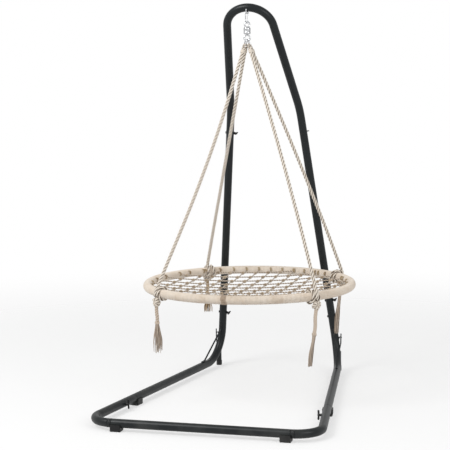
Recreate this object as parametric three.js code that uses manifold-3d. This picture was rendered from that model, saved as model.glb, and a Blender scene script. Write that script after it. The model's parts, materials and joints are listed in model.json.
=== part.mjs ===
// Saucer nest swing: a round rope seat hung from a bent steel stand with one arch.
// Millimetres, +Z up. The open end of the base faces -Y, and the stand is symmetric about X = 0.
import * as THREE from 'three';
import { mergeVertices } from 'three/addons/utils/BufferGeometryUtils.js';
import Module from 'manifold-3d';

const wasm = await Module();
wasm.setup();

// Steel tube of the stand
const TUBE_RADIUS = 19;
const TUBE_WALL = 1.5;
const TUBE_SIDES = 16;
const BORE_SIDES = 10;
const FIT_GAP = 0.3;

// Base, lying level: front tube, two corners, and sides that close in towards the rear
const TUBE_HEIGHT = 34;
const FRONT_Y = -700;
const FRONT_HALF = 515;
const REAR_HALF = 312;
const BASE_DEPTH = 1433;
const CORNER_BEND = 108;
const REAR_BEND = 140;

// Uprights, which lean in and forward, and the arch, which leans forward more above the knees
const KNEE_HALF = 173;
const KNEE_SETBACK = 266;
const KNEE_Z = 1331;
const KNEE_BEND = 250;
const ARCH_LEAN = THREE.MathUtils.degToRad(34.85);
const ARCH_SPREAD = THREE.MathUtils.degToRad(7.28);
const ARCH_BEND = 112;
const BEND_STEP = THREE.MathUtils.degToRad(14);

// Where one tube ends and the next begins
const FRONT_SEAM_X = 390;
const SIDE_SEAM_SHARE = 0.314;
const LOWER_SEAM_Z = 314;
const UPPER_SEAM_Z = 1173;
const SLEEVE_HALF = 78;
const SIDE_SLEEVE_HALF = 135;
const SLEEVE_RADIUS = 16.3;
const SLEEVE_WALL = 1.8;
const SPIGOT_LENGTH = 90;
const SPIGOT_COLLAR = 18.3;
const SPIGOT_COLLAR_LENGTH = 4;

// Bolts through the joints, with a low head on one side of the tube and a wing knob on the other
const BOLT_RADIUS = 3;
const BOLT_SIDES = 8;
const HEAD_RADIUS = 6.5;
const HEAD_HEIGHT = 4;
const KNOB_RADIUS = 6;
const KNOB_LENGTH = 17;
const KNOB_BORE_DEPTH = 11;
const WING_SPAN = 44;
const WING_THICKNESS = 5;
const WING_LOW = 8;
const SIDE_BOLT_OFFSET = -110;
const LOWER_BOLT_OFFSETS = [-32, 54];
const UPPER_BOLT_OFFSET = 44;

// Plastic feet under the base, and the rear legs with their caps
const FOOT_LENGTH = 46;
const FOOT_HALF = 23.5;
const FOOT_LIP = 32;
const FOOT_CLEARANCE = 0.6;
const FRONT_FOOT_X = 370;
const SIDE_FOOT_OFFSET = 24;
const LEG_RADIUS = 12.5;
const LEG_WALL = 1.5;
const LEG_SETBACK = 28;
const LEG_TOP = 125;
const LEG_BORE_TOP = 80;
const CAP_WALL = 1.5;
const CAP_FLOOR = 3;
const CAP_HEIGHT = 24;

// Rod braces across the rear bends
const BRACE_RADIUS = 4;
const BRACE_TOP_Z = 214;
const BRACE_REACH = 196;
const TAB_LENGTH = 30;
const TAB_WIDTH = 15;
const TAB_THICKNESS = 4;
const BRACE_SCREW_RADIUS = 6;

// Hanger, from the loop under the arch down to the two rope links
const HANGER_WIRE = 3;
const HANGER_RADIUS = 17;
const HANGER_DROP = 9;
const HANGER_CLEARANCE = 1.5;
const WIRE_SIDES = 6;
const WIRE_STEPS = 16;
const WIRE_GAP = 0.4;
const LINK_WIRE = 2.5;
const LINK_HALF_WIDTH = 8;
const LINK_LENGTH = 54;
const LINK_TURN = THREE.MathUtils.degToRad(-20);
const EYE_WIRE = 3.5;
const EYE_RADIUS = 13;
const EYE_TURN = THREE.MathUtils.degToRad(45);
const SWIVEL_RADIUS = 16;
const SWIVEL_HEIGHT = 33;
const SWIVEL_POCKET_TOP = 22;
const SWIVEL_LIP = 8;
const STEM_RADIUS = 5;
const STEM_HEAD = 9;
const STEM_COLLAR = 8;
const RING_DROP = 18;
const RING_RADIUS = 13.5;
const RING_TURN = THREE.MathUtils.degToRad(20);
const ROPE_LINK_WIRE = 2.5;
const ROPE_LINK_HALF_WIDTH = 8;
const ROPE_LINK_LENGTH = 36;
const ROPE_LINK_TURN = THREE.MathUtils.degToRad(-50);
const ROPE_LINK_TILTS = { left: THREE.MathUtils.degToRad(18), right: THREE.MathUtils.degToRad(22) };
const ROPE_LINK_PLACE = THREE.MathUtils.degToRad(30);

// Seat: a steel hoop inside a yarn wrap, with a net that sags a little
const SEAT_Z = 520;
const SEAT_RADIUS = 500;
const WRAP_RADIUS = 20.5;
const WRAP_BORE = 13.8;
const WRAP_OPEN_ANGLE = THREE.MathUtils.degToRad(0.5);
const WRAP_SIDES = 12;
const WRAP_BORE_SIDES = 8;
const HOOP_TUBE = 11;
const HOOP_STEPS = 45;
const NET_EDGE = 456;
const NET_THICKNESS = 8;
const NET_SAG = 22;
const NET_SIDES = 30;

// Ropes and tassels: compass angle of each rope round the seat, how far its middle sags inwards (or
// bows outwards), and the size of its tassel
const ROPE_RADIUS = 8;
const ROPE_SIDES = 8;
const ROPES = [
  { name: 'front_left', angle: -131.5, sag: 30, stem: 92, fray: 150, lean: 0 },
  { name: 'front_right', angle: -39.5, sag: -15, stem: 128, fray: 156, lean: 8 },
  { name: 'rear_right', angle: 41.5, sag: -8, stem: 110, fray: 126, lean: 3 },
  { name: 'rear_left', angle: 129.5, sag: 0, stem: 84, fray: 84, lean: 0 },
];
// Route of every rope before it sags, as [distance from the seat's axis, height above the ring's centre]
const ROPE_ROUTE = [
  [20, 1105], [36, 1066], [61, 1012], [94, 940], [130, 860], [168, 776], [207, 690],
  [246, 604], [286, 516], [326, 427], [367, 337], [408, 246], [448, 156], [480, 82],
  [498, 40], [506, 18], [510, 2], [508, -9],
];
const KNOT_RADIUS = 19;
const KNOT_DISTANCE = 506;
const KNOT_DROP = 36;
const STEM_ROPE_RADIUS = 8.5;
const FRAY_RADIUS = 15;

const MATERIALS = {
  powderCoat: { color: 0x2b2d2f, roughness: 0.45, metalness: 0.6 },
  blackPlastic: { color: 0x111112, roughness: 0.6, metalness: 0 },
  chrome: { color: 0xd9dbdd, roughness: 0.15, metalness: 1 },
  zincSteel: { color: 0x8f9396, roughness: 0.4, metalness: 1 },
  cotton: { color: 0xdccfb8, roughness: 0.95, metalness: 0 },
};

const model = new THREE.Group();
const X_AXIS = new THREE.Vector3(1, 0, 0);
const UP = new THREE.Vector3(0, 0, 1);
const vector = (x, y, z) => new THREE.Vector3(x, y, z);
const mirrored = (point, side) => vector(point.x * side, point.y, point.z);
const sideName = (side) => (side < 0 ? 'left' : 'right');

// A path given by stations, each a point and the direction there, with no other points between.
class StationPath extends THREE.Curve {
  constructor(stations) {
    super();
    this.stations = stations;
  }

  blend(key, t, target) {
    const place = t * (this.stations.length - 1);
    const index = Math.min(Math.floor(place), this.stations.length - 2);
    return target.lerpVectors(this.stations[index][key], this.stations[index + 1][key], place - index);
  }

  getUtoTmapping(u) {
    return u;
  }

  getPoint(t, target = new THREE.Vector3()) {
    return this.blend('point', t, target);
  }

  getTangent(t, target = new THREE.Vector3()) {
    return this.blend('direction', t, target).normalize();
  }
}

const directionFrom = (a, b) => b.clone().sub(a).normalize();

function bendStations(before, corner, after, bend) {
  const inward = directionFrom(before, corner);
  const onward = directionFrom(corner, after);
  const turn = inward.angleTo(onward);
  const across = onward.clone().addScaledVector(inward, -Math.cos(turn)).normalize();
  const start = corner.clone().addScaledVector(inward, -bend * Math.tan(turn / 2));
  const steps = Math.ceil(turn / BEND_STEP);
  return Array.from({ length: steps + 1 }, (_, i) => {
    const angle = (turn * i) / steps;
    const point = start.clone().addScaledVector(inward, bend * Math.sin(angle));
    point.addScaledVector(across, bend * (1 - Math.cos(angle)));
    const direction = inward.clone().multiplyScalar(Math.cos(angle)).addScaledVector(across, Math.sin(angle));
    return { point, direction };
  });
}

// Straight runs between corner points, with a round bend at each corner
function bentPath(corners, bends = []) {
  const first = { point: corners[0], direction: directionFrom(corners[0], corners[1]) };
  const last = { point: corners.at(-1), direction: directionFrom(corners.at(-2), corners.at(-1)) };
  const between = bends.flatMap((bend, i) => bendStations(corners[i], corners[i + 1], corners[i + 2], bend));
  return new StationPath([first, ...between, last]);
}

function pointPath(points) {
  const neighbour = (i) => points[THREE.MathUtils.clamp(i, 0, points.length - 1)];
  return new StationPath(points.map((point, i) => (
    { point, direction: directionFrom(neighbour(i - 1), neighbour(i + 1)) }
  )));
}

function addPiece(name, geometry, look, parent = model) {
  const mesh = new THREE.Mesh(geometry, new THREE.MeshStandardMaterial(MATERIALS[look]));
  mesh.name = name;
  parent.add(mesh);
  return mesh;
}

function toSolid(geometry) {
  const plain = geometry.clone();
  plain.deleteAttribute('normal');
  plain.deleteAttribute('uv');
  const merged = mergeVertices(plain);
  const vertProperties = new Float32Array(merged.attributes.position.array);
  const triVerts = new Uint32Array(merged.index.array);
  return new wasm.Manifold(new wasm.Mesh({ numProp: 3, vertProperties, triVerts }));
}

function toGeometry(solid) {
  const mesh = solid.getMesh();
  const geometry = new THREE.BufferGeometry();
  geometry.setAttribute('position', new THREE.BufferAttribute(mesh.vertProperties, 3));
  geometry.setIndex(new THREE.BufferAttribute(mesh.triVerts, 1));
  return geometry;
}

function joined(...geometries) {
  return toGeometry(geometries.map(toSolid).reduce((whole, next) => whole.add(next)));
}

function cut(geometry, ...cutters) {
  return toGeometry(cutters.map(toSolid).reduce((rest, cutter) => rest.subtract(cutter), toSolid(geometry)));
}

function polygon(radius, sides) {
  const corner = (i) => ((2 * i + 1) * Math.PI) / sides;
  return Array.from({ length: sides }, (_, i) => (
    new THREE.Vector2(radius * Math.cos(corner(i)), radius * Math.sin(corner(i)))
  ));
}

function ringSection(outer, inner, sides = TUBE_SIDES, boreSides = BORE_SIDES) {
  const section = new THREE.Shape(polygon(outer, sides));
  section.holes.push(new THREE.Path(polygon(inner, boreSides)));
  return section;
}

function sweep(section, path) {
  const steps = path.stations.length - 1;
  return new THREE.ExtrudeGeometry(section, { steps, bevelEnabled: false, extrudePath: path });
}

function lathe(profile, segments) {
  const points = profile.map(([radius, height]) => new THREE.Vector2(radius, height));
  return new THREE.LatheGeometry(points, segments).rotateX(Math.PI / 2);
}

function rod(radius, from, to, sides) {
  const length = from.distanceTo(to);
  const geometry = new THREE.CylinderGeometry(radius, radius, length, sides).rotateX(Math.PI / 2);
  const turn = new THREE.Quaternion().setFromUnitVectors(UP, to.clone().sub(from).normalize());
  const middle = from.clone().add(to).multiplyScalar(0.5);
  return geometry.applyQuaternion(turn).translate(middle.x, middle.y, middle.z);
}

// A frame at a point of a tube: local Z points out of the stand and local Y runs along the tube.
function tubeFrame(point, along, side) {
  const outward = X_AXIS.clone().multiplyScalar(side);
  outward.addScaledVector(along, -outward.dot(along)).normalize();
  const across = along.clone().cross(outward);
  return new THREE.Matrix4().makeBasis(across, along, outward).setPosition(point);
}

// Corner points of the stand, for the right half
const frontCorner = vector(FRONT_HALF, FRONT_Y, TUBE_HEIGHT);
const rearCorner = vector(REAR_HALF, FRONT_Y + BASE_DEPTH, TUBE_HEIGHT);
const knee = vector(KNEE_HALF, rearCorner.y - KNEE_SETBACK, KNEE_Z);
const archPeakRun = KNEE_HALF / Math.tan(ARCH_SPREAD);
const archRise = vector(0, -Math.sin(ARCH_LEAN), Math.cos(ARCH_LEAN));
const archMiddle = vector(0, knee.y, knee.z);
const archPeak = archMiddle.clone().addScaledVector(archRise, archPeakRun);
const archRun = archPeakRun - ARCH_BEND * (1 / Math.sin(ARCH_SPREAD) - 1);
const apex = archMiddle.clone().addScaledVector(archRise, archRun);
const atHeight = (low, high, z) => low.clone().lerp(high, (z - low.z) / (high.z - low.z));
const frontSeam = vector(FRONT_SEAM_X, FRONT_Y, TUBE_HEIGHT);
const sideSeam = frontCorner.clone().lerp(rearCorner, SIDE_SEAM_SHARE);
const lowerSeam = atHeight(rearCorner, knee, LOWER_SEAM_Z);
const upperSeam = atHeight(rearCorner, knee, UPPER_SEAM_Z);
const sideDirection = rearCorner.clone().sub(frontCorner).normalize();
const uprightDirection = knee.clone().sub(rearCorner).normalize();

const offsetPoint = (point, direction, distance) => point.clone().addScaledVector(direction, distance);
const ends = (point, direction) => ({
  before: offsetPoint(point, direction, -FIT_GAP / 2),
  after: offsetPoint(point, direction, FIT_GAP / 2),
});

// Bolt places on the right half, as distances along the tube from a seam. Every knob faces inwards,
// but on the right two are turned outwards and one to the rear; rightTurn is the angle round the tube.
const BOLTS = [
  { name: 'side', seam: sideSeam, along: sideDirection, offset: SIDE_BOLT_OFFSET, rightTurn: 0 },
  { name: 'lower', seam: lowerSeam, along: uprightDirection, offset: LOWER_BOLT_OFFSETS[0], rightTurn: 180 },
  { name: 'middle', seam: lowerSeam, along: uprightDirection, offset: LOWER_BOLT_OFFSETS[1], rightTurn: 180 },
  { name: 'upper', seam: upperSeam, along: uprightDirection, offset: UPPER_BOLT_OFFSET, rightTurn: -90 },
];

function boltFrame(bolt, side) {
  const point = mirrored(offsetPoint(bolt.seam, bolt.along, bolt.offset), side);
  const turn = side > 0 ? THREE.MathUtils.degToRad(bolt.rightTurn) : 0;
  const frame = tubeFrame(point, mirrored(bolt.along, side), side);
  return frame.multiply(new THREE.Matrix4().makeRotationY(turn));
}

function boltHole(bolt, side) {
  const reach = 2 * TUBE_RADIUS;
  const hole = rod(BOLT_RADIUS + FIT_GAP, vector(0, 0, -reach), vector(0, 0, reach), BOLT_SIDES);
  return hole.applyMatrix4(boltFrame(bolt, side));
}

function addSideTubes(side) {
  const [sideBolt, lowerBolt, middleBolt, upperBolt] = BOLTS;
  const section = ringSection(TUBE_RADIUS, TUBE_RADIUS - TUBE_WALL);
  const place = (point) => mirrored(point, side);
  const frontEnds = ends(frontSeam, X_AXIS);
  const sideEnds = ends(sideSeam, sideDirection);
  const lowerEnds = ends(lowerSeam, uprightDirection);
  const upperEnds = ends(upperSeam, uprightDirection);

  const cornerRoute = bentPath([frontEnds.after, frontCorner, sideEnds.before].map(place), [CORNER_BEND]);
  const corner = joined(sweep(section, cornerRoute), ...spigot(frontEnds.after, side));
  addPiece(`corner_tube_${sideName(side)}`, cut(corner, boltHole(sideBolt, side)), 'powderCoat');

  const bendRoute = bentPath([sideEnds.after, rearCorner, lowerEnds.before].map(place), [REAR_BEND]);
  addPiece(`rear_bend_${sideName(side)}`, rearBend(section, bendRoute, side, lowerBolt), 'powderCoat');

  const uprightRoute = bentPath([lowerEnds.after, upperEnds.before].map(place));
  const upright = cut(sweep(section, uprightRoute), boltHole(middleBolt, side));
  addPiece(`upright_${sideName(side)}`, upright, 'powderCoat');

  addSleeve('side_sleeve', SIDE_SLEEVE_HALF, side, sideBolt);
  addSleeve('lower_sleeve', SLEEVE_HALF, side, lowerBolt, middleBolt);
  addSleeve('upper_sleeve', SLEEVE_HALF, side, upperBolt);
}

// The narrowed end of a corner tube, which slides into the front tube, and the step down to it
function spigot(end, side) {
  const bore = SLEEVE_RADIUS - SLEEVE_WALL;
  const at = (distance) => mirrored(offsetPoint(end, X_AXIS, distance), side);
  const step = bentPath([at(0), at(SPIGOT_COLLAR_LENGTH)]);
  const narrow = bentPath([at(-SPIGOT_LENGTH), at(SPIGOT_COLLAR_LENGTH / 2)]);
  return [
    sweep(ringSection(SPIGOT_COLLAR, bore), step),
    sweep(ringSection(SLEEVE_RADIUS, bore, BORE_SIDES), narrow),
  ];
}

// The rear bend carries a short vertical leg, welded under it.
function rearBend(section, route, side, bolt) {
  const foot = legFoot(side);
  const top = (height) => vector(foot.x, foot.y, height);
  const bore = sweep(new THREE.Shape(polygon(TUBE_RADIUS - TUBE_WALL, BORE_SIDES)), route);
  const leg = rod(LEG_RADIUS, top(CAP_FLOOR + FIT_GAP), top(LEG_TOP), BORE_SIDES);
  const legBore = rod(LEG_RADIUS - LEG_WALL, top(0), top(LEG_BORE_TOP), BORE_SIDES);
  return cut(joined(sweep(section, route), cut(leg, bore)), legBore, boltHole(bolt, side));
}

function legFoot(side) {
  const share = (BASE_DEPTH - LEG_SETBACK) / BASE_DEPTH;
  const foot = frontCorner.clone().lerp(rearCorner, share);
  return vector(foot.x * side, foot.y, 0);
}

// A sleeve inside the seam that its bolts belong to
function addSleeve(name, half, side, ...bolts) {
  const { seam, along } = bolts[0];
  const from = mirrored(offsetPoint(seam, along, -half), side);
  const to = mirrored(offsetPoint(seam, along, half), side);
  const section = ringSection(SLEEVE_RADIUS, SLEEVE_RADIUS - SLEEVE_WALL, BORE_SIDES);
  const sleeve = sweep(section, bentPath([from, to]));
  const holes = bolts.map((bolt) => boltHole(bolt, side));
  addPiece(`${name}_${sideName(side)}`, cut(sleeve, ...holes), 'zincSteel');
}

function addFrontTube() {
  const section = ringSection(TUBE_RADIUS, TUBE_RADIUS - TUBE_WALL);
  const end = frontSeam.clone().addScaledVector(X_AXIS, -FIT_GAP / 2);
  addPiece('front_tube', sweep(section, bentPath([mirrored(end, -1), end])), 'powderCoat');
}

function addTopArch() {
  const section = ringSection(TUBE_RADIUS, TUBE_RADIUS - TUBE_WALL);
  const foot = ends(upperSeam, uprightDirection).after;
  const corners = [mirrored(foot, -1), mirrored(knee, -1), archPeak, knee, foot];
  const arch = sweep(section, bentPath(corners, [KNEE_BEND, ARCH_BEND, KNEE_BEND]));
  const upperBolt = BOLTS.at(-1);
  addPiece('top_arch', cut(arch, boltHole(upperBolt, -1), boltHole(upperBolt, 1)), 'powderCoat');
}

function boltGeometry() {
  const seat = TUBE_RADIUS + FIT_GAP;
  const tip = -(seat + KNOB_BORE_DEPTH - FIT_GAP);
  const profile = [
    [0, tip], [BOLT_RADIUS, tip], [BOLT_RADIUS, seat], [HEAD_RADIUS, seat],
    [HEAD_RADIUS, seat + HEAD_HEIGHT * 0.4], [HEAD_RADIUS * 0.7, seat + HEAD_HEIGHT * 0.85],
    [0, seat + HEAD_HEIGHT],
  ];
  return lathe(profile, BOLT_SIDES);
}

function knobGeometry() {
  const base = TUBE_RADIUS + FIT_GAP;
  const half = WING_SPAN / 2;
  const top = KNOB_LENGTH - 0.5;
  const edge = [[KNOB_RADIUS - 1, 4], [half - 4, WING_LOW], [half, WING_LOW + 3], [half - 2, top]];
  const otherEdge = edge.map(([x, y]) => [-x, y]).reverse();
  const wing = new THREE.Shape([...edge, ...otherEdge].map(([x, y]) => new THREE.Vector2(x, y)));
  const wings = new THREE.ExtrudeGeometry(wing, { depth: WING_THICKNESS, bevelEnabled: false });
  wings.translate(0, 0, -WING_THICKNESS / 2).rotateX(Math.PI / 2);
  const boss = rod(KNOB_RADIUS, vector(0, 0, 0), vector(0, 0, KNOB_LENGTH), BORE_SIDES);
  const bore = rod(BOLT_RADIUS + FIT_GAP, vector(0, 0, -1), vector(0, 0, KNOB_BORE_DEPTH), BOLT_SIDES);
  return cut(joined(boss, wings), bore).translate(0, 0, base).rotateY(Math.PI);
}

function addBolts(side) {
  for (const bolt of BOLTS) {
    const frame = boltFrame(bolt, side);
    const group = new THREE.Group();
    frame.decompose(group.position, group.quaternion, group.scale);
    addPiece(`${bolt.name}_bolt_${sideName(side)}`, boltGeometry(), 'blackPlastic', group);
    addPiece(`${bolt.name}_wing_knob_${sideName(side)}`, knobGeometry(), 'blackPlastic', group);
    model.add(group);
  }
}

// A saddle that cups the tube: its section is drawn in the plane across the tube.
function footGeometry() {
  const cup = TUBE_RADIUS + FOOT_CLEARANCE;
  const lip = Math.asin((TUBE_HEIGHT - FOOT_LIP) / cup);
  const outline = new THREE.Shape();
  outline.moveTo(-FOOT_HALF + 4, 0);
  outline.lineTo(FOOT_HALF - 4, 0);
  outline.lineTo(FOOT_HALF, 5);
  outline.lineTo(FOOT_HALF, FOOT_LIP);
  outline.lineTo(cup * Math.cos(lip), FOOT_LIP);
  outline.absarc(0, TUBE_HEIGHT, cup, -lip, lip - Math.PI, true);
  outline.lineTo(-FOOT_HALF, FOOT_LIP);
  outline.lineTo(-FOOT_HALF, 5);
  const extrusion = { depth: FOOT_LENGTH, bevelEnabled: false, curveSegments: 10 };
  const saddle = new THREE.ExtrudeGeometry(outline, extrusion);
  return saddle.translate(0, 0, -FOOT_LENGTH / 2).rotateX(Math.PI / 2);
}

function addFeet(side) {
  const alongSide = mirrored(sideDirection, side);
  const sidePoint = mirrored(offsetPoint(sideSeam, sideDirection, SIDE_FOOT_OFFSET), side);
  const frontFoot = addPiece(`front_foot_${sideName(side)}`, footGeometry(), 'blackPlastic');
  frontFoot.position.set(side * FRONT_FOOT_X, FRONT_Y, 0);
  frontFoot.rotation.z = Math.PI / 2;
  const sideFoot = addPiece(`side_foot_${sideName(side)}`, footGeometry(), 'blackPlastic');
  sideFoot.position.set(sidePoint.x, sidePoint.y, 0);
  sideFoot.rotation.z = Math.atan2(-alongSide.x, alongSide.y);
}

function addLegCap(side) {
  const inside = LEG_RADIUS + FIT_GAP;
  const outside = inside + CAP_WALL;
  const cap = addPiece(`leg_cap_${sideName(side)}`, lathe([
    [0, 0], [outside, 0], [outside, CAP_HEIGHT], [inside, CAP_HEIGHT], [inside, CAP_FLOOR], [0, CAP_FLOOR],
  ], BORE_SIDES), 'blackPlastic');
  cap.position.copy(legFoot(side));
}

// A round rod with a flattened tab at each end; the upper tab is screwed to the upright.
function addBrace(side) {
  const up = mirrored(uprightDirection, side);
  const back = mirrored(sideDirection, side);
  const onUpright = mirrored(atHeight(rearCorner, knee, BRACE_TOP_Z), side);
  const towardsFront = back.clone().addScaledVector(up, -back.dot(up)).normalize().negate();
  const clear = TUBE_RADIUS + FIT_GAP + TAB_THICKNESS / 2;
  const top = offsetPoint(onUpright, towardsFront, clear);
  const onSide = mirrored(offsetPoint(rearCorner, sideDirection, -BRACE_REACH - TAB_LENGTH), side);
  const bottom = offsetPoint(onSide, UP, clear);
  const tab = (point, along, normal) => {
    const plate = new THREE.BoxGeometry(TAB_WIDTH, TAB_LENGTH, TAB_THICKNESS);
    const across = along.clone().cross(normal);
    return plate.applyMatrix4(new THREE.Matrix4().makeBasis(across, along, normal).setPosition(point));
  };
  const holeEnd = offsetPoint(onUpright, towardsFront, 2 * clear);
  const hole = rod(BOLT_RADIUS + FIT_GAP, onUpright, holeEnd, BOLT_SIDES);
  const lift = BRACE_RADIUS - TAB_THICKNESS / 4;
  const barBottom = offsetPoint(bottom, back, TAB_LENGTH / 4).addScaledVector(UP, lift);
  const barTop = offsetPoint(top, up, -TAB_LENGTH / 3).addScaledVector(towardsFront, lift);
  const bar = rod(BRACE_RADIUS, barBottom, barTop, BORE_SIDES);
  const whole = joined(bar, tab(bottom, back, UP), tab(top, up, towardsFront));
  addPiece(`brace_rod_${sideName(side)}`, cut(whole, hole), 'powderCoat');
  const headSeat = clear + TAB_THICKNESS / 2 + FIT_GAP;
  const head = rod(
    BRACE_SCREW_RADIUS,
    offsetPoint(onUpright, towardsFront, headSeat),
    offsetPoint(onUpright, towardsFront, headSeat + 4),
    BOLT_SIDES,
  );
  const shank = rod(
    BOLT_RADIUS,
    offsetPoint(onUpright, towardsFront, TUBE_RADIUS + FIT_GAP),
    offsetPoint(onUpright, towardsFront, headSeat + 1),
    BOLT_SIDES,
  );
  addPiece(`brace_screw_${sideName(side)}`, joined(head, shank), 'blackPlastic');
}

// A wire ring in the XY plane, pulled out along Y into an oval of the given length.
function ovalRing(halfWidth, wire, length = 2 * halfWidth) {
  const ring = new THREE.TorusGeometry(halfWidth, wire, WIRE_SIDES, WIRE_STEPS);
  const position = ring.attributes.position;
  const stretch = length / 2 - halfWidth;
  for (let i = 0; i < position.count; i += 1) {
    const y = position.getY(i);
    if (Math.abs(y) > wire) position.setY(i, y + Math.sign(y) * stretch);
  }
  return ring;
}

const hangerZ = apex.z - TUBE_RADIUS - HANGER_DROP;
const linkTopZ = hangerZ + HANGER_WIRE + LINK_WIRE + WIRE_GAP;
const linkBottomZ = linkTopZ - LINK_LENGTH + 2 * LINK_WIRE;
const eyeZ = linkBottomZ + LINK_WIRE + EYE_WIRE + WIRE_GAP - EYE_RADIUS;
const housingTopZ = eyeZ - EYE_RADIUS + EYE_WIRE / 2;
const housingBottomZ = housingTopZ - SWIVEL_HEIGHT;
const ringZ = housingBottomZ - RING_DROP;

// A half ring welded across the underside of the arch, in the plane X = 0
function addHangerLoop() {
  const ring = new THREE.TorusGeometry(HANGER_RADIUS, HANGER_WIRE, WIRE_SIDES, WIRE_STEPS).rotateY(Math.PI / 2);
  ring.translate(0, apex.y, hangerZ + HANGER_RADIUS);
  const across = vector(2 * HANGER_RADIUS, 0, 0);
  const spaceRadius = TUBE_RADIUS + HANGER_CLEARANCE;
  const tubeSpace = rod(spaceRadius, apex.clone().sub(across), apex.clone().add(across), 2 * TUBE_SIDES);
  const above = new THREE.BoxGeometry(4 * HANGER_RADIUS, 4 * HANGER_RADIUS, 4 * HANGER_RADIUS);
  above.translate(0, apex.y, apex.z - TUBE_RADIUS / 2 + 2 * HANGER_RADIUS);
  addPiece('hanger_loop', cut(ring, tubeSpace, above), 'chrome');
}

function addQuickLink() {
  const link = ovalRing(LINK_HALF_WIDTH, LINK_WIRE, LINK_LENGTH - 2 * LINK_WIRE).rotateX(Math.PI / 2);
  const piece = addPiece('quick_link', link, 'chrome');
  piece.position.set(0, apex.y, (linkTopZ + linkBottomZ) / 2);
  piece.rotation.z = LINK_TURN;
}

function turnedRing(radius, turn, height) {
  const ring = new THREE.TorusGeometry(radius, EYE_WIRE, WIRE_SIDES, WIRE_STEPS).rotateX(Math.PI / 2);
  return ring.rotateZ(turn).translate(0, 0, height);
}

// The housing has a pocket for the head of the stem, open below round the stem.
function addSwivel() {
  const bore = STEM_RADIUS + FIT_GAP;
  const pocket = STEM_HEAD + FIT_GAP;
  const pocketTop = housingBottomZ + SWIVEL_POCKET_TOP;
  const lipTop = housingBottomZ + SWIVEL_LIP;
  const housing = lathe([
    [0, pocketTop], [pocket, pocketTop], [pocket, lipTop], [bore, lipTop], [bore, housingBottomZ],
    [SWIVEL_RADIUS - 2, housingBottomZ], [SWIVEL_RADIUS, housingBottomZ + 2],
    [SWIVEL_RADIUS, housingTopZ - 4], [SWIVEL_RADIUS - 3, housingTopZ - 1], [0, housingTopZ],
  ], 16);
  const eye = turnedRing(EYE_RADIUS, EYE_TURN, eyeZ);
  addPiece('swivel_housing', joined(eye, housing), 'chrome').position.set(0, apex.y, 0);

  const collarTop = housingBottomZ - FIT_GAP;
  const stem = lathe([
    [0, ringZ + RING_RADIUS - 1], [STEM_COLLAR - 2, ringZ + RING_RADIUS - 1], [STEM_COLLAR, collarTop],
    [STEM_RADIUS, collarTop], [STEM_RADIUS, lipTop + FIT_GAP], [STEM_HEAD, lipTop + FIT_GAP],
    [STEM_HEAD, pocketTop - FIT_GAP], [0, pocketTop - FIT_GAP],
  ], 12);
  const ring = turnedRing(RING_RADIUS, RING_TURN, ringZ);
  addPiece('swivel_stem_ring', joined(stem, ring), 'chrome').position.set(0, apex.y, 0);
}

// Each rope link hangs in the stem's ring, tipped outwards by the pull of its two ropes.
function addRopeLink(side) {
  const length = ROPE_LINK_LENGTH - 2 * ROPE_LINK_WIRE;
  const oval = ovalRing(ROPE_LINK_HALF_WIDTH, ROPE_LINK_WIRE, length).rotateX(Math.PI / 2);
  oval.translate(0, 0, -length / 2).rotateZ(ROPE_LINK_TURN);
  const link = addPiece(`rope_link_${sideName(side)}`, oval, 'chrome');
  const reach = RING_RADIUS - EYE_WIRE - ROPE_LINK_WIRE - WIRE_GAP;
  const along = reach * Math.sin(ROPE_LINK_PLACE) * side;
  const height = ringZ - reach * Math.cos(ROPE_LINK_PLACE);
  link.position.set(along * Math.cos(RING_TURN), apex.y + along * Math.sin(RING_TURN), height);
  link.rotation.y = -side * ROPE_LINK_TILTS[sideName(side)];
}

const ringRadius = SEAT_RADIUS - WRAP_RADIUS;
const seatGroup = new THREE.Group();
seatGroup.position.set(0, apex.y, SEAT_Z);

// The wrap is one long sleeve bent round the hoop, with its two ends almost meeting.
function addRing() {
  const hoop = new THREE.TorusGeometry(ringRadius, HOOP_TUBE, WIRE_SIDES, HOOP_STEPS);
  addPiece('hoop', hoop, 'zincSteel', seatGroup);
  const start = THREE.MathUtils.degToRad(ROPES[0].angle) + WRAP_OPEN_ANGLE / 2;
  const stations = Array.from({ length: HOOP_STEPS + 1 }, (_, i) => {
    const angle = start + ((2 * Math.PI - WRAP_OPEN_ANGLE) * i) / HOOP_STEPS;
    const outward = vector(Math.cos(angle), Math.sin(angle), 0);
    return { point: outward.clone().multiplyScalar(ringRadius), direction: UP.clone().cross(outward) };
  });
  const section = ringSection(WRAP_RADIUS, WRAP_BORE, WRAP_SIDES, WRAP_BORE_SIDES);
  addPiece('ring_wrap', sweep(section, new StationPath(stations)), 'cotton', seatGroup);
}

function addNet() {
  const rings = 5;
  const sag = (radius) => -NET_SAG * (1 - (radius / NET_EDGE) ** 2);
  const radii = Array.from({ length: rings }, (_, i) => (NET_EDGE * i) / (rings - 1));
  const under = radii.map((radius) => [radius, sag(radius) - NET_THICKNESS / 2]);
  const over = radii.map((radius) => [radius, sag(radius) + NET_THICKNESS / 2]).reverse();
  addPiece('seat_net', lathe([...under, ...over], NET_SIDES), 'cotton', seatGroup);
}

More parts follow.
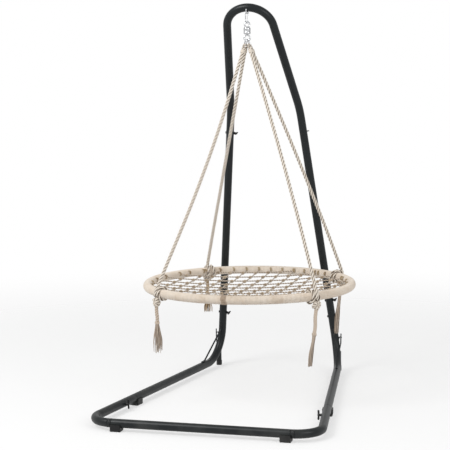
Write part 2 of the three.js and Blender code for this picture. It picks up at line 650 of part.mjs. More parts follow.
function addRope(rope) {
  const turned = new THREE.Group();
  turned.rotation.z = THREE.MathUtils.degToRad(rope.angle);
  const top = ROPE_ROUTE[0][1];
  const sag = (height) => rope.sag * Math.sin(Math.PI * Math.min(1, 1 - height / top));
  const path = pointPath(ROPE_ROUTE.map(([reach, height]) => vector(reach - sag(height), 0, height)));
  const section = new THREE.Shape(polygon(ROPE_RADIUS, ROPE_SIDES));
  addPiece(`rope_${rope.name}`, sweep(section, path), 'cotton', turned);

  const stemEnd = -KNOT_RADIUS - rope.stem + 20;
  const frayEnd = stemEnd - rope.fray;
  const tassel = addPiece(`tassel_${rope.name}`, lathe([
    [0, frayEnd], [FRAY_RADIUS, frayEnd], [FRAY_RADIUS * 0.8, stemEnd - 25], [STEM_ROPE_RADIUS, stemEnd],
    [STEM_ROPE_RADIUS, -KNOT_RADIUS - 4], [KNOT_RADIUS * 0.8, -12], [KNOT_RADIUS, 2],
    [KNOT_RADIUS * 0.55, KNOT_RADIUS * 0.75], [0, KNOT_RADIUS * 0.9],
  ], 10), 'cotton', seatGroup);
  const angle = THREE.MathUtils.degToRad(rope.angle);
  tassel.position.set(KNOT_DISTANCE * Math.cos(angle), KNOT_DISTANCE * Math.sin(angle), -KNOT_DROP);
  tassel.rotation.y = THREE.MathUtils.degToRad(rope.lean);
  seatGroup.add(turned);
}

addFrontTube();
addTopArch();
for (const side of [-1, 1]) {
  addSideTubes(side);
  addBolts(side);
  addFeet(side);
  addLegCap(side);
  addBrace(side);
  addRopeLink(side);
}
addHangerLoop();
addQuickLink();
addSwivel();
addRing();
addNet();
ROPES.forEach(addRope);
model.add(seatGroup);

export default model;
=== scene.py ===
import json
import math
import random

import bmesh
import bpy
from mathutils import Matrix, Vector


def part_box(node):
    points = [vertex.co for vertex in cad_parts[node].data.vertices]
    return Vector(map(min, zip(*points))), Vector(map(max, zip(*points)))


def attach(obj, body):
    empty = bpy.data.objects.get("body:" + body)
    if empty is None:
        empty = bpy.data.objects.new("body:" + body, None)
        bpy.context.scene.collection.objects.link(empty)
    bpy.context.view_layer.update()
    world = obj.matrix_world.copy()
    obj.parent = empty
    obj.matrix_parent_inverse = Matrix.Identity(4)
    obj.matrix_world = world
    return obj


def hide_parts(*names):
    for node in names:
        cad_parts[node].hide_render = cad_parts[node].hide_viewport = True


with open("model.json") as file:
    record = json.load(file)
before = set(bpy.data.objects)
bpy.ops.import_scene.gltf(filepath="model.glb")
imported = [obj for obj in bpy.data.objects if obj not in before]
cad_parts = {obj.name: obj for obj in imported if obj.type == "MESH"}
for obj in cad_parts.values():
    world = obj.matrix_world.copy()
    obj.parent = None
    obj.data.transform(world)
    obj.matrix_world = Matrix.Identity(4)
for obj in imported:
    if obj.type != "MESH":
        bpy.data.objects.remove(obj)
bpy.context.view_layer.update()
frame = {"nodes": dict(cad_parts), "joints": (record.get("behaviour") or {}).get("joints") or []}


# Camera: it stands a little to the right of the swing and just above the seat, and is turned
# back towards it, with a long lens and no shift.
CAMERA_PLACE = (1.651, -6.140, 1.506)
CAMERA_TURN = math.radians(15.73)
CAMERA_PITCH = math.radians(-6.21)
CAMERA_ROLL = math.radians(-0.61)
CAMERA_LENS = 111.2

camera_data = bpy.data.cameras.new("camera")
camera_data.lens = CAMERA_LENS
camera = bpy.data.objects.new("camera", camera_data)
bpy.context.scene.collection.objects.link(camera)
turn = Matrix.Rotation(CAMERA_TURN, 4, "Z") @ Matrix.Rotation(math.pi / 2 + CAMERA_PITCH, 4, "X")
camera.matrix_world = Matrix.Translation(CAMERA_PLACE) @ turn @ Matrix.Rotation(CAMERA_ROLL, 4, "Z")
bpy.context.scene.camera = camera


# Ropes: four lengths of three-strand laid cotton rope, soft and cream, each spliced round a link
# under the swivel and running down outside the ring to a knot below it.
ROPE_DIAMETER = 0.0165
STRANDS = 3
LAY_LENGTH = 0.056
STRAND_SWELL = 1.06
ROPE_STEP = 0.004
SEAT_HEIGHT = 0.520
RING_RADIUS = 0.4795
WRAP_RADIUS = 0.0205
ROPES = {
    "front_left": {"angle": -131.5, "sag": 0.030},
    "front_right": {"angle": -39.5, "sag": -0.015},
    "rear_right": {"angle": 41.5, "sag": -0.008},
    "rear_left": {"angle": 129.5, "sag": 0.0},
}
# Every rope's route before it sags, as (distance from the seat's axis, height above the ring's middle)
ROPE_ROUTE = [
    (0.020, 1.105), (0.036, 1.066), (0.061, 1.012), (0.094, 0.940), (0.130, 0.860), (0.168, 0.776),
    (0.207, 0.690), (0.246, 0.604), (0.286, 0.516), (0.326, 0.427), (0.367, 0.337), (0.408, 0.246),
    (0.448, 0.156), (0.480, 0.082), (0.498, 0.040), (0.506, 0.018), (0.510, 0.002), (0.508, -0.009),
]
seat_axis = Vector(next(j for j in frame["joints"] if j["name"] == "seat_spin")["pos_m"])
seat_middle = Vector((seat_axis.x, seat_axis.y, SEAT_HEIGHT))


def smooth_path(points, step):
    """Points a step apart along a smooth curve through the given points."""
    knots = [Vector(p) for p in points]
    knots = [2 * knots[0] - knots[1], *knots, 2 * knots[-1] - knots[-2]]
    fine = []
    for a, b, c, d in zip(knots, knots[1:], knots[2:], knots[3:]):
        count = max(2, math.ceil((c - b).length / (step / 4)))
        for i in range(count):
            t = i / count
            curve = (2 * b + (c - a) * t + (2 * a - 5 * b + 4 * c - d) * t**2
                     + (3 * b - a - 3 * c + d) * t**3)
            fine.append(curve / 2)
    fine.append(knots[-2])
    return evenly(fine, step)


def evenly(points, step):
    """The same line, with its points a step apart."""
    total = sum((b - a).length for a, b in zip(points, points[1:]))
    count = max(2, round(total / step))
    even, travelled, target = [points[0].copy()], 0.0, total / count
    for a, b in zip(points, points[1:]):
        run = (b - a).length
        while run > 0 and target <= travelled + run and len(even) < count:
            even.append(a.lerp(b, (target - travelled) / run))
            target += total / count
        travelled += run
    even.append(points[-1].copy())
    return even


def path_frames(points, closed=False):
    """A direction, and two directions across it that don't twist, at each point of a path."""
    count = len(points)
    if closed:
        along = [(points[(i + 1) % count] - points[i - 1]).normalized() for i in range(count)]
    else:
        ends = [points[0], *points, points[-1]]
        along = [(b - a).normalized() for a, b in zip(ends, ends[2:])]
    across = along[0].orthogonal().normalized()
    frames = []
    for direction in along:
        across = (across - direction * across.dot(direction)).normalized()
        frames.append((direction, across, direction.cross(across)))
    if closed:
        drift = frames[-1][1].angle(frames[0][1], 0)
        if frames[-1][1].cross(frames[0][1]).dot(frames[0][0]) < 0:
            drift = -drift
        turned = []
        for i, (direction, one, two) in enumerate(frames):
            angle = drift * i / count
            turned.append((direction, one * math.cos(angle) + two * math.sin(angle),
                           two * math.cos(angle) - one * math.sin(angle)))
        frames = turned
    return frames


def add_tube(bm, points, radius, sides, closed=False, frames=None, squash=None):
    """Adds a tube along a path. radius is a number or one for each point, and squash narrows it
    across its second direction. The tube's UV map is in metres: round it, then along it. Returns
    the tube's rings of vertices."""
    layer = bm.loops.layers.uv.verify()
    crown = bm.verts.layers.float.get("crown") or bm.verts.layers.float.new("crown")
    frames = frames or path_frames(points, closed)
    radii = [radius] * len(points) if isinstance(radius, (int, float)) else radius
    flat = squash or [1.0] * len(points)
    rings, travelled = [], [0.0]
    for i, (point, (_, one, two)) in enumerate(zip(points, frames)):
        if i:
            travelled.append(travelled[-1] + (point - points[i - 1]).length)
        ring = []
        for k in range(sides):
            angle = 2 * math.pi * k / sides
            offset = one * math.cos(angle) + two * (math.sin(angle) * flat[i])
            ring.append(bm.verts.new(point + offset * radii[i]))
            ring[-1][crown] = 1.0
        rings.append(ring)
    spans = list(range(len(points) - 1)) + ([len(points) - 1] if closed else [])
    mean = sum(radii) / len(radii)
    for i in spans:
        after = (i + 1) % len(points)
        end = travelled[after] if after else travelled[i] + (points[0] - points[i]).length
        for k in range(sides):
            nxt = (k + 1) % sides
            face = bm.faces.new((rings[i][k], rings[i][nxt], rings[after][nxt], rings[after][k]))
            face.smooth = True
            u0, u1 = (2 * math.pi * mean * j / sides for j in (k, k + 1))
            corners = ((u0, travelled[i]), (u1, travelled[i]), (u1, end), (u0, end))
            for loop, uv in zip(face.loops, corners):
                loop[layer].uv = uv
    if not closed:
        bm.faces.new(list(reversed(rings[0]))).smooth = False
        bm.faces.new(rings[-1]).smooth = False
    return rings


def laid_strands(points, radius, strands, lay, phase=0.0):
    """The paths of the strands twisted together into a rope of the given outer radius."""
    size = radius / (1 + 1 / math.sin(math.pi / strands))
    frames = path_frames(points)
    paths = [[] for _ in range(strands)]
    travelled = 0.0
    for i, (point, (_, one, two)) in enumerate(zip(points, frames)):
        if i:
            travelled += (point - points[i - 1]).length
        for n, path in enumerate(paths):
            angle = 2 * math.pi * (n / strands + travelled / lay) + phase
            path.append(point + (one * math.cos(angle) + two * math.sin(angle)) * (radius - size))
    return paths, size


def mark_hollows(bm, rings, points, radius):
    """Stores how far out each vertex lies in its rope: 1 on a strand's crown, less in the hollows.
    The laid-cord cotton paints shade into the hollows from this.
    """
    crown = bm.verts.layers.float["crown"]
    for ring, point in zip(rings, points):
        for vertex in ring:
            vertex[crown] = (vertex.co - point).length / radius


def add_laid_rope(bm, points, radius, lay, strands=STRANDS, sides=9, phase=0.0):
    """Adds a rope, with its strands pressed a little into each other."""
    paths, size = laid_strands(points, radius, strands, lay, phase)
    for path in paths:
        mark_hollows(bm, add_tube(bm, path, size * STRAND_SWELL, sides), points, radius)


def finish_mesh(name, bm, material, body, slot, *nodes):
    """Makes the piece's object, gives it its material and body, and hides the CAD nodes it stands for."""
    mesh = bpy.data.meshes.new(name)
    bm.to_mesh(mesh)
    bm.free()
    return finish_piece(name, mesh, material, body, slot, *nodes)


def finish_piece(name, mesh, material, body, slot, *nodes):
    """As finish_mesh, for a mesh that is ready."""
    mesh.materials.clear()
    mesh.materials.append(material)
    piece = bpy.data.objects.new(name, mesh)
    bpy.context.scene.collection.objects.link(piece)
    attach(piece, body)
    if nodes:
        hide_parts(*nodes)
    return piece


def shader_group(name, inputs, outputs):
    """An empty shader node group with the given (name, default) inputs and output names."""
    group = bpy.data.node_groups.new(name, "ShaderNodeTree")
    for label, default in inputs:
        kind = "NodeSocketVector" if label == "Place" else "NodeSocketFloat"
        socket = group.interface.new_socket(label, in_out="INPUT", socket_type=kind)
        if default is not None:
            socket.default_value = default
    for label in outputs:
        group.interface.new_socket(label, in_out="OUTPUT", socket_type="NodeSocketFloat")
    return group, group.nodes.new("NodeGroupInput"), group.nodes.new("NodeGroupOutput")


def linked(tree, kind, settings=None, **inputs):
    """A new node of a tree: its properties, then its inputs by name, as values or as sockets."""
    node = tree.nodes.new(kind)
    for key, value in (settings or {}).items():
        setattr(node, key, value)
    for label, value in inputs.items():
        key = int(label[1:]) if label[0] == "_" else label.replace("_", " ")
        if isinstance(value, bpy.types.NodeSocket):
            tree.links.new(value, node.inputs[key])
        else:
            node.inputs[key].default_value = value
    return node


def fibre_group():
    """Fine twisted fibres that run at a slant along a cord's own UV map, with soft uneven tone."""
    group, given, result = shader_group(
        "cotton fibre", [("Place", None), ("Fibres", 900.0), ("Slant", 0.8), ("Mottle", 35.0)],
        ["Height", "Tone"])
    split = linked(group, "ShaderNodeSeparateXYZ", _0=given.outputs["Place"])
    slanted = linked(group, "ShaderNodeMath", {"operation": "MULTIPLY_ADD"},
                     _0=split.outputs[1], _1=given.outputs["Slant"], _2=split.outputs[0])
    stretched = linked(group, "ShaderNodeMath", {"operation": "MULTIPLY"}, _0=split.outputs[1], _1=0.12)
    place = linked(group, "ShaderNodeCombineXYZ", _0=slanted.outputs[0], _1=stretched.outputs[0])
    fibres = linked(group, "ShaderNodeTexNoise", Vector=place.outputs[0], Scale=given.outputs["Fibres"],
                    Detail=3.0, Roughness=0.6)
    mottle = linked(group, "ShaderNodeTexNoise", Vector=given.outputs["Place"],
                    Scale=given.outputs["Mottle"], Detail=4.0, Roughness=0.55)
    tone = linked(group, "ShaderNodeMix", _0=0.45, _2=mottle.outputs[0], _3=fibres.outputs[0])
    group.links.new(fibres.outputs[0], result.inputs["Height"])
    group.links.new(tone.outputs[0], result.inputs["Tone"])
    return group


cotton_fibre = fibre_group()


def cotton(name, dark, middle, light, fibres=900.0, slant=0.8, depth=0.0006, wound=False):
    """Matt cotton: the tone of its fibres runs through three colours. Wound yarn takes its pattern from
    its place, and laid cord from its own UV map, with painted shade in the hollows of its lay, where
    it turns to a brown darker than the dark colour."""
    material = bpy.data.materials.new(name)
    material.use_nodes = True
    tree = material.node_tree
    shader = tree.nodes["Principled BSDF"]
    shader.inputs["Roughness"].default_value = 0.95
    shader.inputs["Specular IOR Level"].default_value = 0.15
    shader.inputs["Sheen Weight"].default_value = 0.35
    shader.inputs["Sheen Roughness"].default_value = 0.6
    if wound:
        place = linked(tree, "ShaderNodeTexCoord").outputs["Object"]
    else:
        place = linked(tree, "ShaderNodeUVMap", {"uv_map": "UVMap"}).outputs[0]
    fibre = linked(tree, "ShaderNodeGroup", {"node_tree": cotton_fibre}, Place=place, Fibres=fibres,
                   Slant=slant, Mottle=14.0 if wound else 35.0)
    ramp = linked(tree, "ShaderNodeValToRGB", _0=fibre.outputs["Tone"])
    ramp.color_ramp.elements[0].position = 0.30
    ramp.color_ramp.elements[0].color = (*dark, 1)
    ramp.color_ramp.elements[1].position = 0.72
    ramp.color_ramp.elements[1].color = (*light, 1)
    ramp.color_ramp.elements.new(0.46).color = (*middle, 1)
    bump = linked(tree, "ShaderNodeBump", Height=fibre.outputs["Height"], Strength=0.6, Distance=depth)
    colour = ramp.outputs[0]
    if not wound:
        # Painted shade: where the crown value is low, in the hollows between strands, the colour is mixed
        # towards a brown darker than the dark colour.
        crown = linked(tree, "ShaderNodeAttribute", {"attribute_name": "crown"})
        unshaded_share = linked(tree, "ShaderNodeMapRange", Value=crown.outputs["Fac"], From_Min=0.66,
                            From_Max=0.95)
        painted_hollow_shade = tuple(0.55 * part for part in dark)
        colour = linked(tree, "ShaderNodeMix", {"data_type": "RGBA"}, _0=unshaded_share.outputs[0],
                        _6=(*painted_hollow_shade, 1), _7=colour).outputs[2]
    tree.links.new(colour, shader.inputs["Base Color"])
    tree.links.new(bump.outputs[0], shader.inputs["Normal"])
    return material


rope_cotton = cotton("rope cotton", (0.22, 0.14, 0.08), (0.74, 0.66, 0.56), (0.92, 0.88, 0.82))


def seat_point(angle, reach, height):
    """A point by its compass angle and distance round the seat's axis and its height above the ring."""
    turn = math.radians(angle)
    return seat_middle + Vector((reach * math.cos(turn), reach * math.sin(turn), height))


def rope_route(rope):
    """A rope's points from its link to its knot, drawn in towards the axis by its sag."""
    top = ROPE_ROUTE[0][1]
    for reach, height in ROPE_ROUTE:
        sag = rope["sag"] * math.sin(math.pi * min(1, 1 - height / top))
        yield seat_point(rope["angle"], reach - sag, height)


rope_paths = {}
for rope_name, rope in ROPES.items():
    rope_points = smooth_path(rope_route(rope), ROPE_STEP)
    rope_paths[rope_name] = rope_points
    bm = bmesh.new()
    add_laid_rope(bm, rope_points, ROPE_DIAMETER / 2, LAY_LENGTH)
    finish_mesh(
        f"rope_{rope_name}_laid", bm, rope_cotton, "seat_body", "cotton_rope", f"rope_{rope_name}")


# Rope eyes: at its top each rope is thinned to two strands, which pass through the bottom of its
# steel link and are tucked back into the rope, under a few turns of whipping.
EYE_REACH = 0.011
EYE_CORD_RADIUS = 0.0042
EYE_LAY = 0.018
EYE_HALF = 0.0065
WHIPPING_TURNS = 6
WHIPPING_RADIUS = 0.0013
WHIPPING_STEP = 0.0022
WHIPPING_REACH = 0.0092


def add_whipping(bm, start, step, one, two, reach, turns, radius):
    """Adds turns of fine cord round a rope, from a start point and a step for each turn."""
    coil = []
    for i in range(turns * 12):
        angle = 2 * math.pi * i / 12
        coil.append(start + step * (i / 12) + (one * math.cos(angle) + two * math.sin(angle)) * reach)
    add_tube(bm, coil, radius, 6)


for rope_name, rope_points in rope_paths.items():
    down = (rope_points[5] - rope_points[0]).normalized()
    across = down.cross(Vector((0, 0, 1))).normalized()
    bm = bmesh.new()
    eye_top = rope_points[0] - down * EYE_REACH
    eye = [rope_points[6] + across * 0.004, rope_points[2] + across * EYE_HALF, eye_top + across * 0.006,
           eye_top - down * 0.006, eye_top - across * 0.006, rope_points[2] - across * EYE_HALF,
           rope_points[6] - across * 0.004]
    add_laid_rope(bm, smooth_path(eye, 0.0015), EYE_CORD_RADIUS, EYE_LAY, strands=2, sides=7)
    add_whipping(bm, rope_points[3], down * WHIPPING_STEP, across, down.cross(across), WHIPPING_REACH,
                 WHIPPING_TURNS, WHIPPING_RADIUS)
    finish_mesh(f"rope_eye_{rope_name}", bm, rope_cotton, "seat_body", "cotton_rope")


# Ring: a steel hoop wound all the way round with fine cotton yarn, about 750 turns side by side,
# with a few turns of thicker cord over the place where the winding starts and ends.
YARN_TURNS = 750
YARN_STEPS = 14
YARN_RADIUS = 0.00215
CORE_RADIUS = WRAP_RADIUS - 1.5 * YARN_RADIUS
BINDING_ANGLE = math.radians(-88.5)
BINDING_TURNS = 6
BINDING_SWEEP = math.radians(2.9)


def geometry_tree(name, inputs):
    """An empty Geometry Nodes tree with the given (name, socket kind, default) inputs."""
    tree = bpy.data.node_groups.new(name, "GeometryNodeTree")
    tree.interface.new_socket("Geometry", in_out="INPUT", socket_type="NodeSocketGeometry")
    for label, kind, default in inputs:
        socket = tree.interface.new_socket(label, in_out="INPUT", socket_type=f"NodeSocket{kind}")
        if default is not None:
            socket.default_value = default
    tree.interface.new_socket("Geometry", in_out="OUTPUT", socket_type="NodeSocketGeometry")
    return tree, tree.nodes.new("NodeGroupInput"), tree.nodes.new("NodeGroupOutput")


def finish_tree(tree, geometry, given, result):
    """Ends a tree: smooth shading, real geometry instead of instances, and the material."""
    smooth = linked(tree, "GeometryNodeSetShadeSmooth", _0=geometry)
    real = linked(tree, "GeometryNodeRealizeInstances", _0=smooth.outputs[0])
    dressed = linked(tree, "GeometryNodeSetMaterial", Geometry=real.outputs[0],
                     Material=given.outputs["Material"])
    tree.links.new(dressed.outputs[0], result.inputs[0])


def made_by(tree, start_mesh, **values):
    """The plain mesh that a tree makes from a start mesh and the values of its named inputs."""
    maker = bpy.data.objects.new("maker", start_mesh)
    bpy.context.scene.collection.objects.link(maker)
    tool = maker.modifiers.new("tool", "NODES")
    tool.node_group = tree
    for socket in tree.interface.items_tree:
        if socket.in_out == "INPUT" and socket.name.replace(" ", "_") in values:
            tool[socket.identifier] = values[socket.name.replace(" ", "_")]
    graph = bpy.context.evaluated_depsgraph_get()
    mesh = bpy.data.meshes.new_from_object(maker.evaluated_get(graph), depsgraph=graph)
    maker.modifiers.remove(tool)
    bpy.data.objects.remove(maker)
    return mesh


def winding_tree():
    """Cord wound round a ring's tube: turns spread over a sweep of the ring."""
    tree, given, result = geometry_tree("winding", [
        ("Turns", "Float", 10.0), ("Points", "Int", 100), ("Start", "Float", 0.0), ("Sweep", "Float", 1.0),
        ("Ring radius", "Float", 0.5), ("Tube radius", "Float", 0.02), ("Cord radius", "Float", 0.002),
        ("Middle", "Vector", None), ("Sides", "Int", 5), ("Material", "Material", None)])

    def math_of(operation, a, b=0.0):
        return linked(tree, "ShaderNodeMath", {"operation": operation}, _0=a, _1=b).outputs[0]

    line = linked(tree, "GeometryNodeMeshLine", Count=given.outputs["Points"])
    share = math_of("DIVIDE", linked(tree, "GeometryNodeInputIndex").outputs[0], given.outputs["Points"])
    round_ring = math_of("ADD", given.outputs["Start"], math_of("MULTIPLY", share, given.outputs["Sweep"]))
    turns = math_of("MULTIPLY", share, given.outputs["Turns"])
    round_tube = math_of("MULTIPLY", turns, 2 * math.pi)
    outward = math_of("MULTIPLY", math_of("COSINE", round_tube), given.outputs["Tube radius"])
    reach = math_of("ADD", given.outputs["Ring radius"], outward)
    place = linked(tree, "ShaderNodeCombineXYZ",
                   _0=math_of("MULTIPLY", reach, math_of("COSINE", round_ring)),
                   _1=math_of("MULTIPLY", reach, math_of("SINE", round_ring)),
                   _2=math_of("MULTIPLY", math_of("SINE", round_tube), given.outputs["Tube radius"]))
    moved = linked(tree, "GeometryNodeSetPosition", Geometry=line.outputs[0], Position=place.outputs[0],
                   Offset=given.outputs["Middle"])
    curve = linked(tree, "GeometryNodeMeshToCurve", Mesh=moved.outputs[0])
    section = linked(tree, "GeometryNodeCurvePrimitiveCircle", Resolution=given.outputs["Sides"],
                     Radius=given.outputs["Cord radius"])
    cord = linked(tree, "GeometryNodeCurveToMesh", Curve=curve.outputs[0],
                  Profile_Curve=section.outputs[0], Fill_Caps=True)
    finish_tree(tree, cord.outputs[0], given, result)
    return tree


winding = winding_tree()
yarn_cotton = cotton("ring yarn", (0.60, 0.48, 0.36), (0.76, 0.66, 0.55), (0.86, 0.79, 0.70),
                     fibres=1400.0, wound=True)
binding_cotton = cotton("binding cord", (0.24, 0.16, 0.10), (0.42, 0.31, 0.22), (0.62, 0.51, 0.39),
                        fibres=1400.0, wound=True)
lone_point = bpy.data.meshes.new("lone point")
yarn_mesh = made_by(winding, lone_point, Turns=float(YARN_TURNS), Points=YARN_TURNS * YARN_STEPS,
                    Start=BINDING_ANGLE, Sweep=2 * math.pi, Ring_radius=RING_RADIUS,
                    Tube_radius=WRAP_RADIUS - YARN_RADIUS, Cord_radius=YARN_RADIUS,
                    Middle=seat_middle, Sides=5, Material=yarn_cotton)
finish_piece("ring_yarn", yarn_mesh, yarn_cotton, "seat_body", "cotton_rope", "ring_wrap")

ring_line = [seat_middle + Vector((math.cos(a), math.sin(a), 0)) * RING_RADIUS
             for a in (2 * math.pi * i / 180 for i in range(180))]
bm = bmesh.new()
add_tube(bm, ring_line, CORE_RADIUS, 28, closed=True)
finish_mesh("ring_padding", bm, yarn_cotton, "seat_body", "cotton_rope", "hoop")

binding_mesh = made_by(winding, lone_point, Turns=float(BINDING_TURNS), Points=BINDING_TURNS * 40,
                       Start=BINDING_ANGLE - BINDING_SWEEP / 2, Sweep=BINDING_SWEEP,
                       Ring_radius=RING_RADIUS, Tube_radius=WRAP_RADIUS + 0.0004, Cord_radius=0.0012,
                       Middle=seat_middle, Sides=7, Material=binding_cotton)
finish_piece("ring_binding", binding_mesh, binding_cotton, "seat_body", "cotton_rope")


# Net: thick soft cords one way and thinner twisted cords the other, knotted where they cross. Their
# ends are lashed to the inside of the ring with brown twine. It sags a little in the middle.
NET_EDGE = 0.4575
NET_SAG = 0.027
ROW_ANGLE = math.radians(15)
ROW_GAP = 0.0915
ROW_RADIUS = 0.0036
COLUMN_ANGLE = math.radians(88.6)
COLUMN_GAP = 0.0600
COLUMN_RADIUS = 0.0031
KNOT_LOOP = 0.0052
LASH_REACH = RING_RADIUS - WRAP_RADIUS + 0.0035
LASH_LIFT = 0.0045
LASH_LOOP = 0.0092
LASH_CORD = 0.0022


def loops_tree():
    """A few cord loops side by side on each point, turned by the points' own angle."""
    tree, given, result = geometry_tree("cord loops", [
        ("Loop radius", "Float", 0.01), ("Cord radius", "Float", 0.002), ("Spread", "Float", 0.005),
        ("Count", "Int", 2), ("Slant", "Float", 0.0), ("Material", "Material", None)])
    loop = linked(tree, "GeometryNodeCurvePrimitiveCircle", Resolution=14,
                  Radius=given.outputs["Loop radius"])
    section = linked(tree, "GeometryNodeCurvePrimitiveCircle", Resolution=6,
                     Radius=given.outputs["Cord radius"])
    ring = linked(tree, "GeometryNodeCurveToMesh", Curve=loop.outputs[0],
                  Profile_Curve=section.outputs[0])
    lean = linked(tree, "ShaderNodeCombineXYZ", _1=math.pi / 2, _2=given.outputs["Slant"])
    upright = linked(tree, "GeometryNodeTransform", Geometry=ring.outputs[0], Rotation=lean.outputs[0])
    step = linked(tree, "ShaderNodeCombineXYZ", _0=given.outputs["Spread"])
    fewer = linked(tree, "ShaderNodeMath", {"operation": "SUBTRACT"}, _0=given.outputs["Count"], _1=1.0)
    half = linked(tree, "ShaderNodeMath", {"operation": "MULTIPLY"}, _0=fewer.outputs[0], _1=-0.5)
    back = linked(tree, "ShaderNodeMath", {"operation": "MULTIPLY"}, _0=half.outputs[0],
                  _1=given.outputs["Spread"])
    begin = linked(tree, "ShaderNodeCombineXYZ", _0=back.outputs[0])
    row = linked(tree, "GeometryNodeMeshLine", Count=given.outputs["Count"],
                 Start_Location=begin.outputs[0], Offset=step.outputs[0])
    loops = linked(tree, "GeometryNodeInstanceOnPoints", Points=row.outputs[0],
                   Instance=upright.outputs[0])
    own_turn = linked(tree, "GeometryNodeInputNamedAttribute", {"data_type": "FLOAT"}, Name="turn")
    turn = linked(tree, "ShaderNodeCombineXYZ", _2=own_turn.outputs[0])
    placed = linked(tree, "GeometryNodeInstanceOnPoints", Points=given.outputs[0],
                    Instance=loops.outputs[0], Rotation=turn.outputs[0])
    finish_tree(tree, placed.outputs[0], given, result)
    return tree


def turned_points(name, places):
    """A mesh of loose points, each with its own turn about Z, from (point, turn) pairs."""
    mesh = bpy.data.meshes.new(name)
    mesh.from_pydata([place for place, _ in places], [], [])
    turns = mesh.attributes.new("turn", "FLOAT", "POINT")
    for item, (_, turn) in zip(turns.data, places):
        item.value = turn
    return mesh


def net_point(x, y):
    """A point of the sagging net, from its place in plan about the seat's axis."""
    share = min(1.0, math.hypot(x, y) / NET_EDGE)
    return seat_middle + Vector((x, y, -NET_SAG * (1 - share**2)))


def net_lines(angle, gap):
    """The plan offset and half length of each cord that runs at this angle, a gap apart."""
    count = int(NET_EDGE / gap)
    for n in range(-count, count + 1):
        offset = (n + 0.35) * gap
        if abs(offset) < NET_EDGE - 0.02:
            yield offset, math.sqrt(NET_EDGE**2 - offset**2)


net_cotton = cotton("net cotton", (0.20, 0.12, 0.07), (0.60, 0.49, 0.38), (0.88, 0.83, 0.76), slant=0.5)
twine_cotton = cotton("brown twine", (0.16, 0.10, 0.05), (0.34, 0.24, 0.13), (0.55, 0.44, 0.28),
                      wound=True)
row_way = Vector((math.cos(ROW_ANGLE), math.sin(ROW_ANGLE)))
column_way = Vector((math.cos(COLUMN_ANGLE), math.sin(COLUMN_ANGLE)))
row_across = Vector((-row_way.y, row_way.x))
column_across = Vector((-column_way.y, column_way.x))
random.seed(7)
bm = bmesh.new()
lashings = []
NET_CORDS = [
    (row_way, row_across, ROW_ANGLE, ROW_GAP, ROW_RADIUS, 0.024, 0.0022),
    (column_way, column_across, COLUMN_ANGLE, COLUMN_GAP, COLUMN_RADIUS, 0.017, -0.0022),
]
for way, across, angle, gap, radius, lay, lift in NET_CORDS:
    for offset, half in net_lines(angle, gap):
        count = max(4, round(2 * half / 0.045))
        line = []
        for i in range(count + 1):
            run = half * (2 * i / count - 1)
            wander = 0 if i in (0, count) else random.uniform(-0.0022, 0.0022)
            plan = way * run + across * (offset + wander)
            line.append(net_point(*plan) + Vector((0, 0, lift)))
        add_laid_rope(bm, smooth_path(line, 0.0045), radius, lay, strands=2, sides=6,
                      phase=random.uniform(0, 6))
        for end in (-half, half):
            place = (way * end + across * offset).normalized()
            tangent = math.atan2(place.y, place.x) + math.pi / 2
            lashings.append((seat_middle + Vector((*(place * LASH_REACH), LASH_LIFT)), tangent))
finish_mesh("net_cords", bm, net_cotton, "seat_body", "cotton_rope", "seat_net")

knots = []
for row_offset, _ in net_lines(ROW_ANGLE, ROW_GAP):
    for column_offset, _ in net_lines(COLUMN_ANGLE, COLUMN_GAP):
        base = row_across * row_offset
        run = (column_offset - base.dot(column_across)) / row_way.dot(column_across)
        crossing = base + row_way * run
        if crossing.length < NET_EDGE - 0.012:
            knots.append((net_point(*crossing), COLUMN_ANGLE))
# The knots are a darker copy of the net's cotton all through: painted shade for the dark hollows of each
# knot's interlacing.
shaded_knot_cotton = cotton("net knots", (0.16, 0.10, 0.05), (0.38, 0.28, 0.18), (0.70, 0.60, 0.47), wound=True)
cord_loops = loops_tree()
knot_mesh = made_by(cord_loops, turned_points("net crossings", knots), Loop_radius=KNOT_LOOP,
                    Cord_radius=0.0027, Spread=0.0085, Count=2, Slant=0.35, Material=shaded_knot_cotton)
finish_piece("net_knots", knot_mesh, shaded_knot_cotton, "seat_body", "cotton_rope")
lash_mesh = made_by(cord_loops, turned_points("lashing places", lashings), Loop_radius=LASH_LOOP,
                    Cord_radius=LASH_CORD, Spread=0.0040, Count=2, Slant=0.3, Material=twine_cotton)
finish_piece("net_lashings", lash_mesh, twine_cotton, "seat_body", "cotton_rope")


# Hitches, knots and tassels: each rope turns twice round the ring, is tied in a fat knot below it,
# and runs on as a stem that is unpicked at its end into a tassel of loose yarns.
HITCH_RADIUS = 0.0066
HITCH_TURNS = (-0.0150, 0.0150)
KNOT_DISTANCE = 0.506
KNOT_DROP = 0.036
KNOT_SIZE = 0.0118
KNOT_CORD_RADIUS = 0.0078
STEM_RADIUS = 0.0085
BINDING_STEP = 0.0021
THREAD_RADIUS = 0.00175
THREAD_TAPER = 0.0008
TASSELS = {
    "front_left": {"stem": 0.085, "end": 0.249, "lean": (0.004, 0.0), "spread": 0.021, "threads": 44,
                   "plies": 3, "loose": 0.55},
    "front_right": {"stem": 0.120, "end": 0.202, "lean": (-0.022, 0.006), "spread": 0.0105, "threads": 40,
                    "plies": 4, "loose": 0.25},
    "rear_right": {"stem": 0.030, "end": 0.233, "lean": (-0.020, 0.004), "spread": 0.0125, "threads": 40,
                   "plies": 3, "loose": 0.12},
    "rear_left": {"stem": 0.095, "end": 0.307, "lean": (0.0, 0.0), "spread": 0.020, "threads": 36,
                  "plies": 3, "loose": 0.35},
}
golden_cotton = cotton("golden cotton", (0.26, 0.15, 0.06), (0.50, 0.34, 0.18), (0.72, 0.58, 0.40))
tassel_cotton = cotton("tassel cotton", (0.26, 0.17, 0.11), (0.58, 0.47, 0.37), (0.80, 0.72, 0.62))


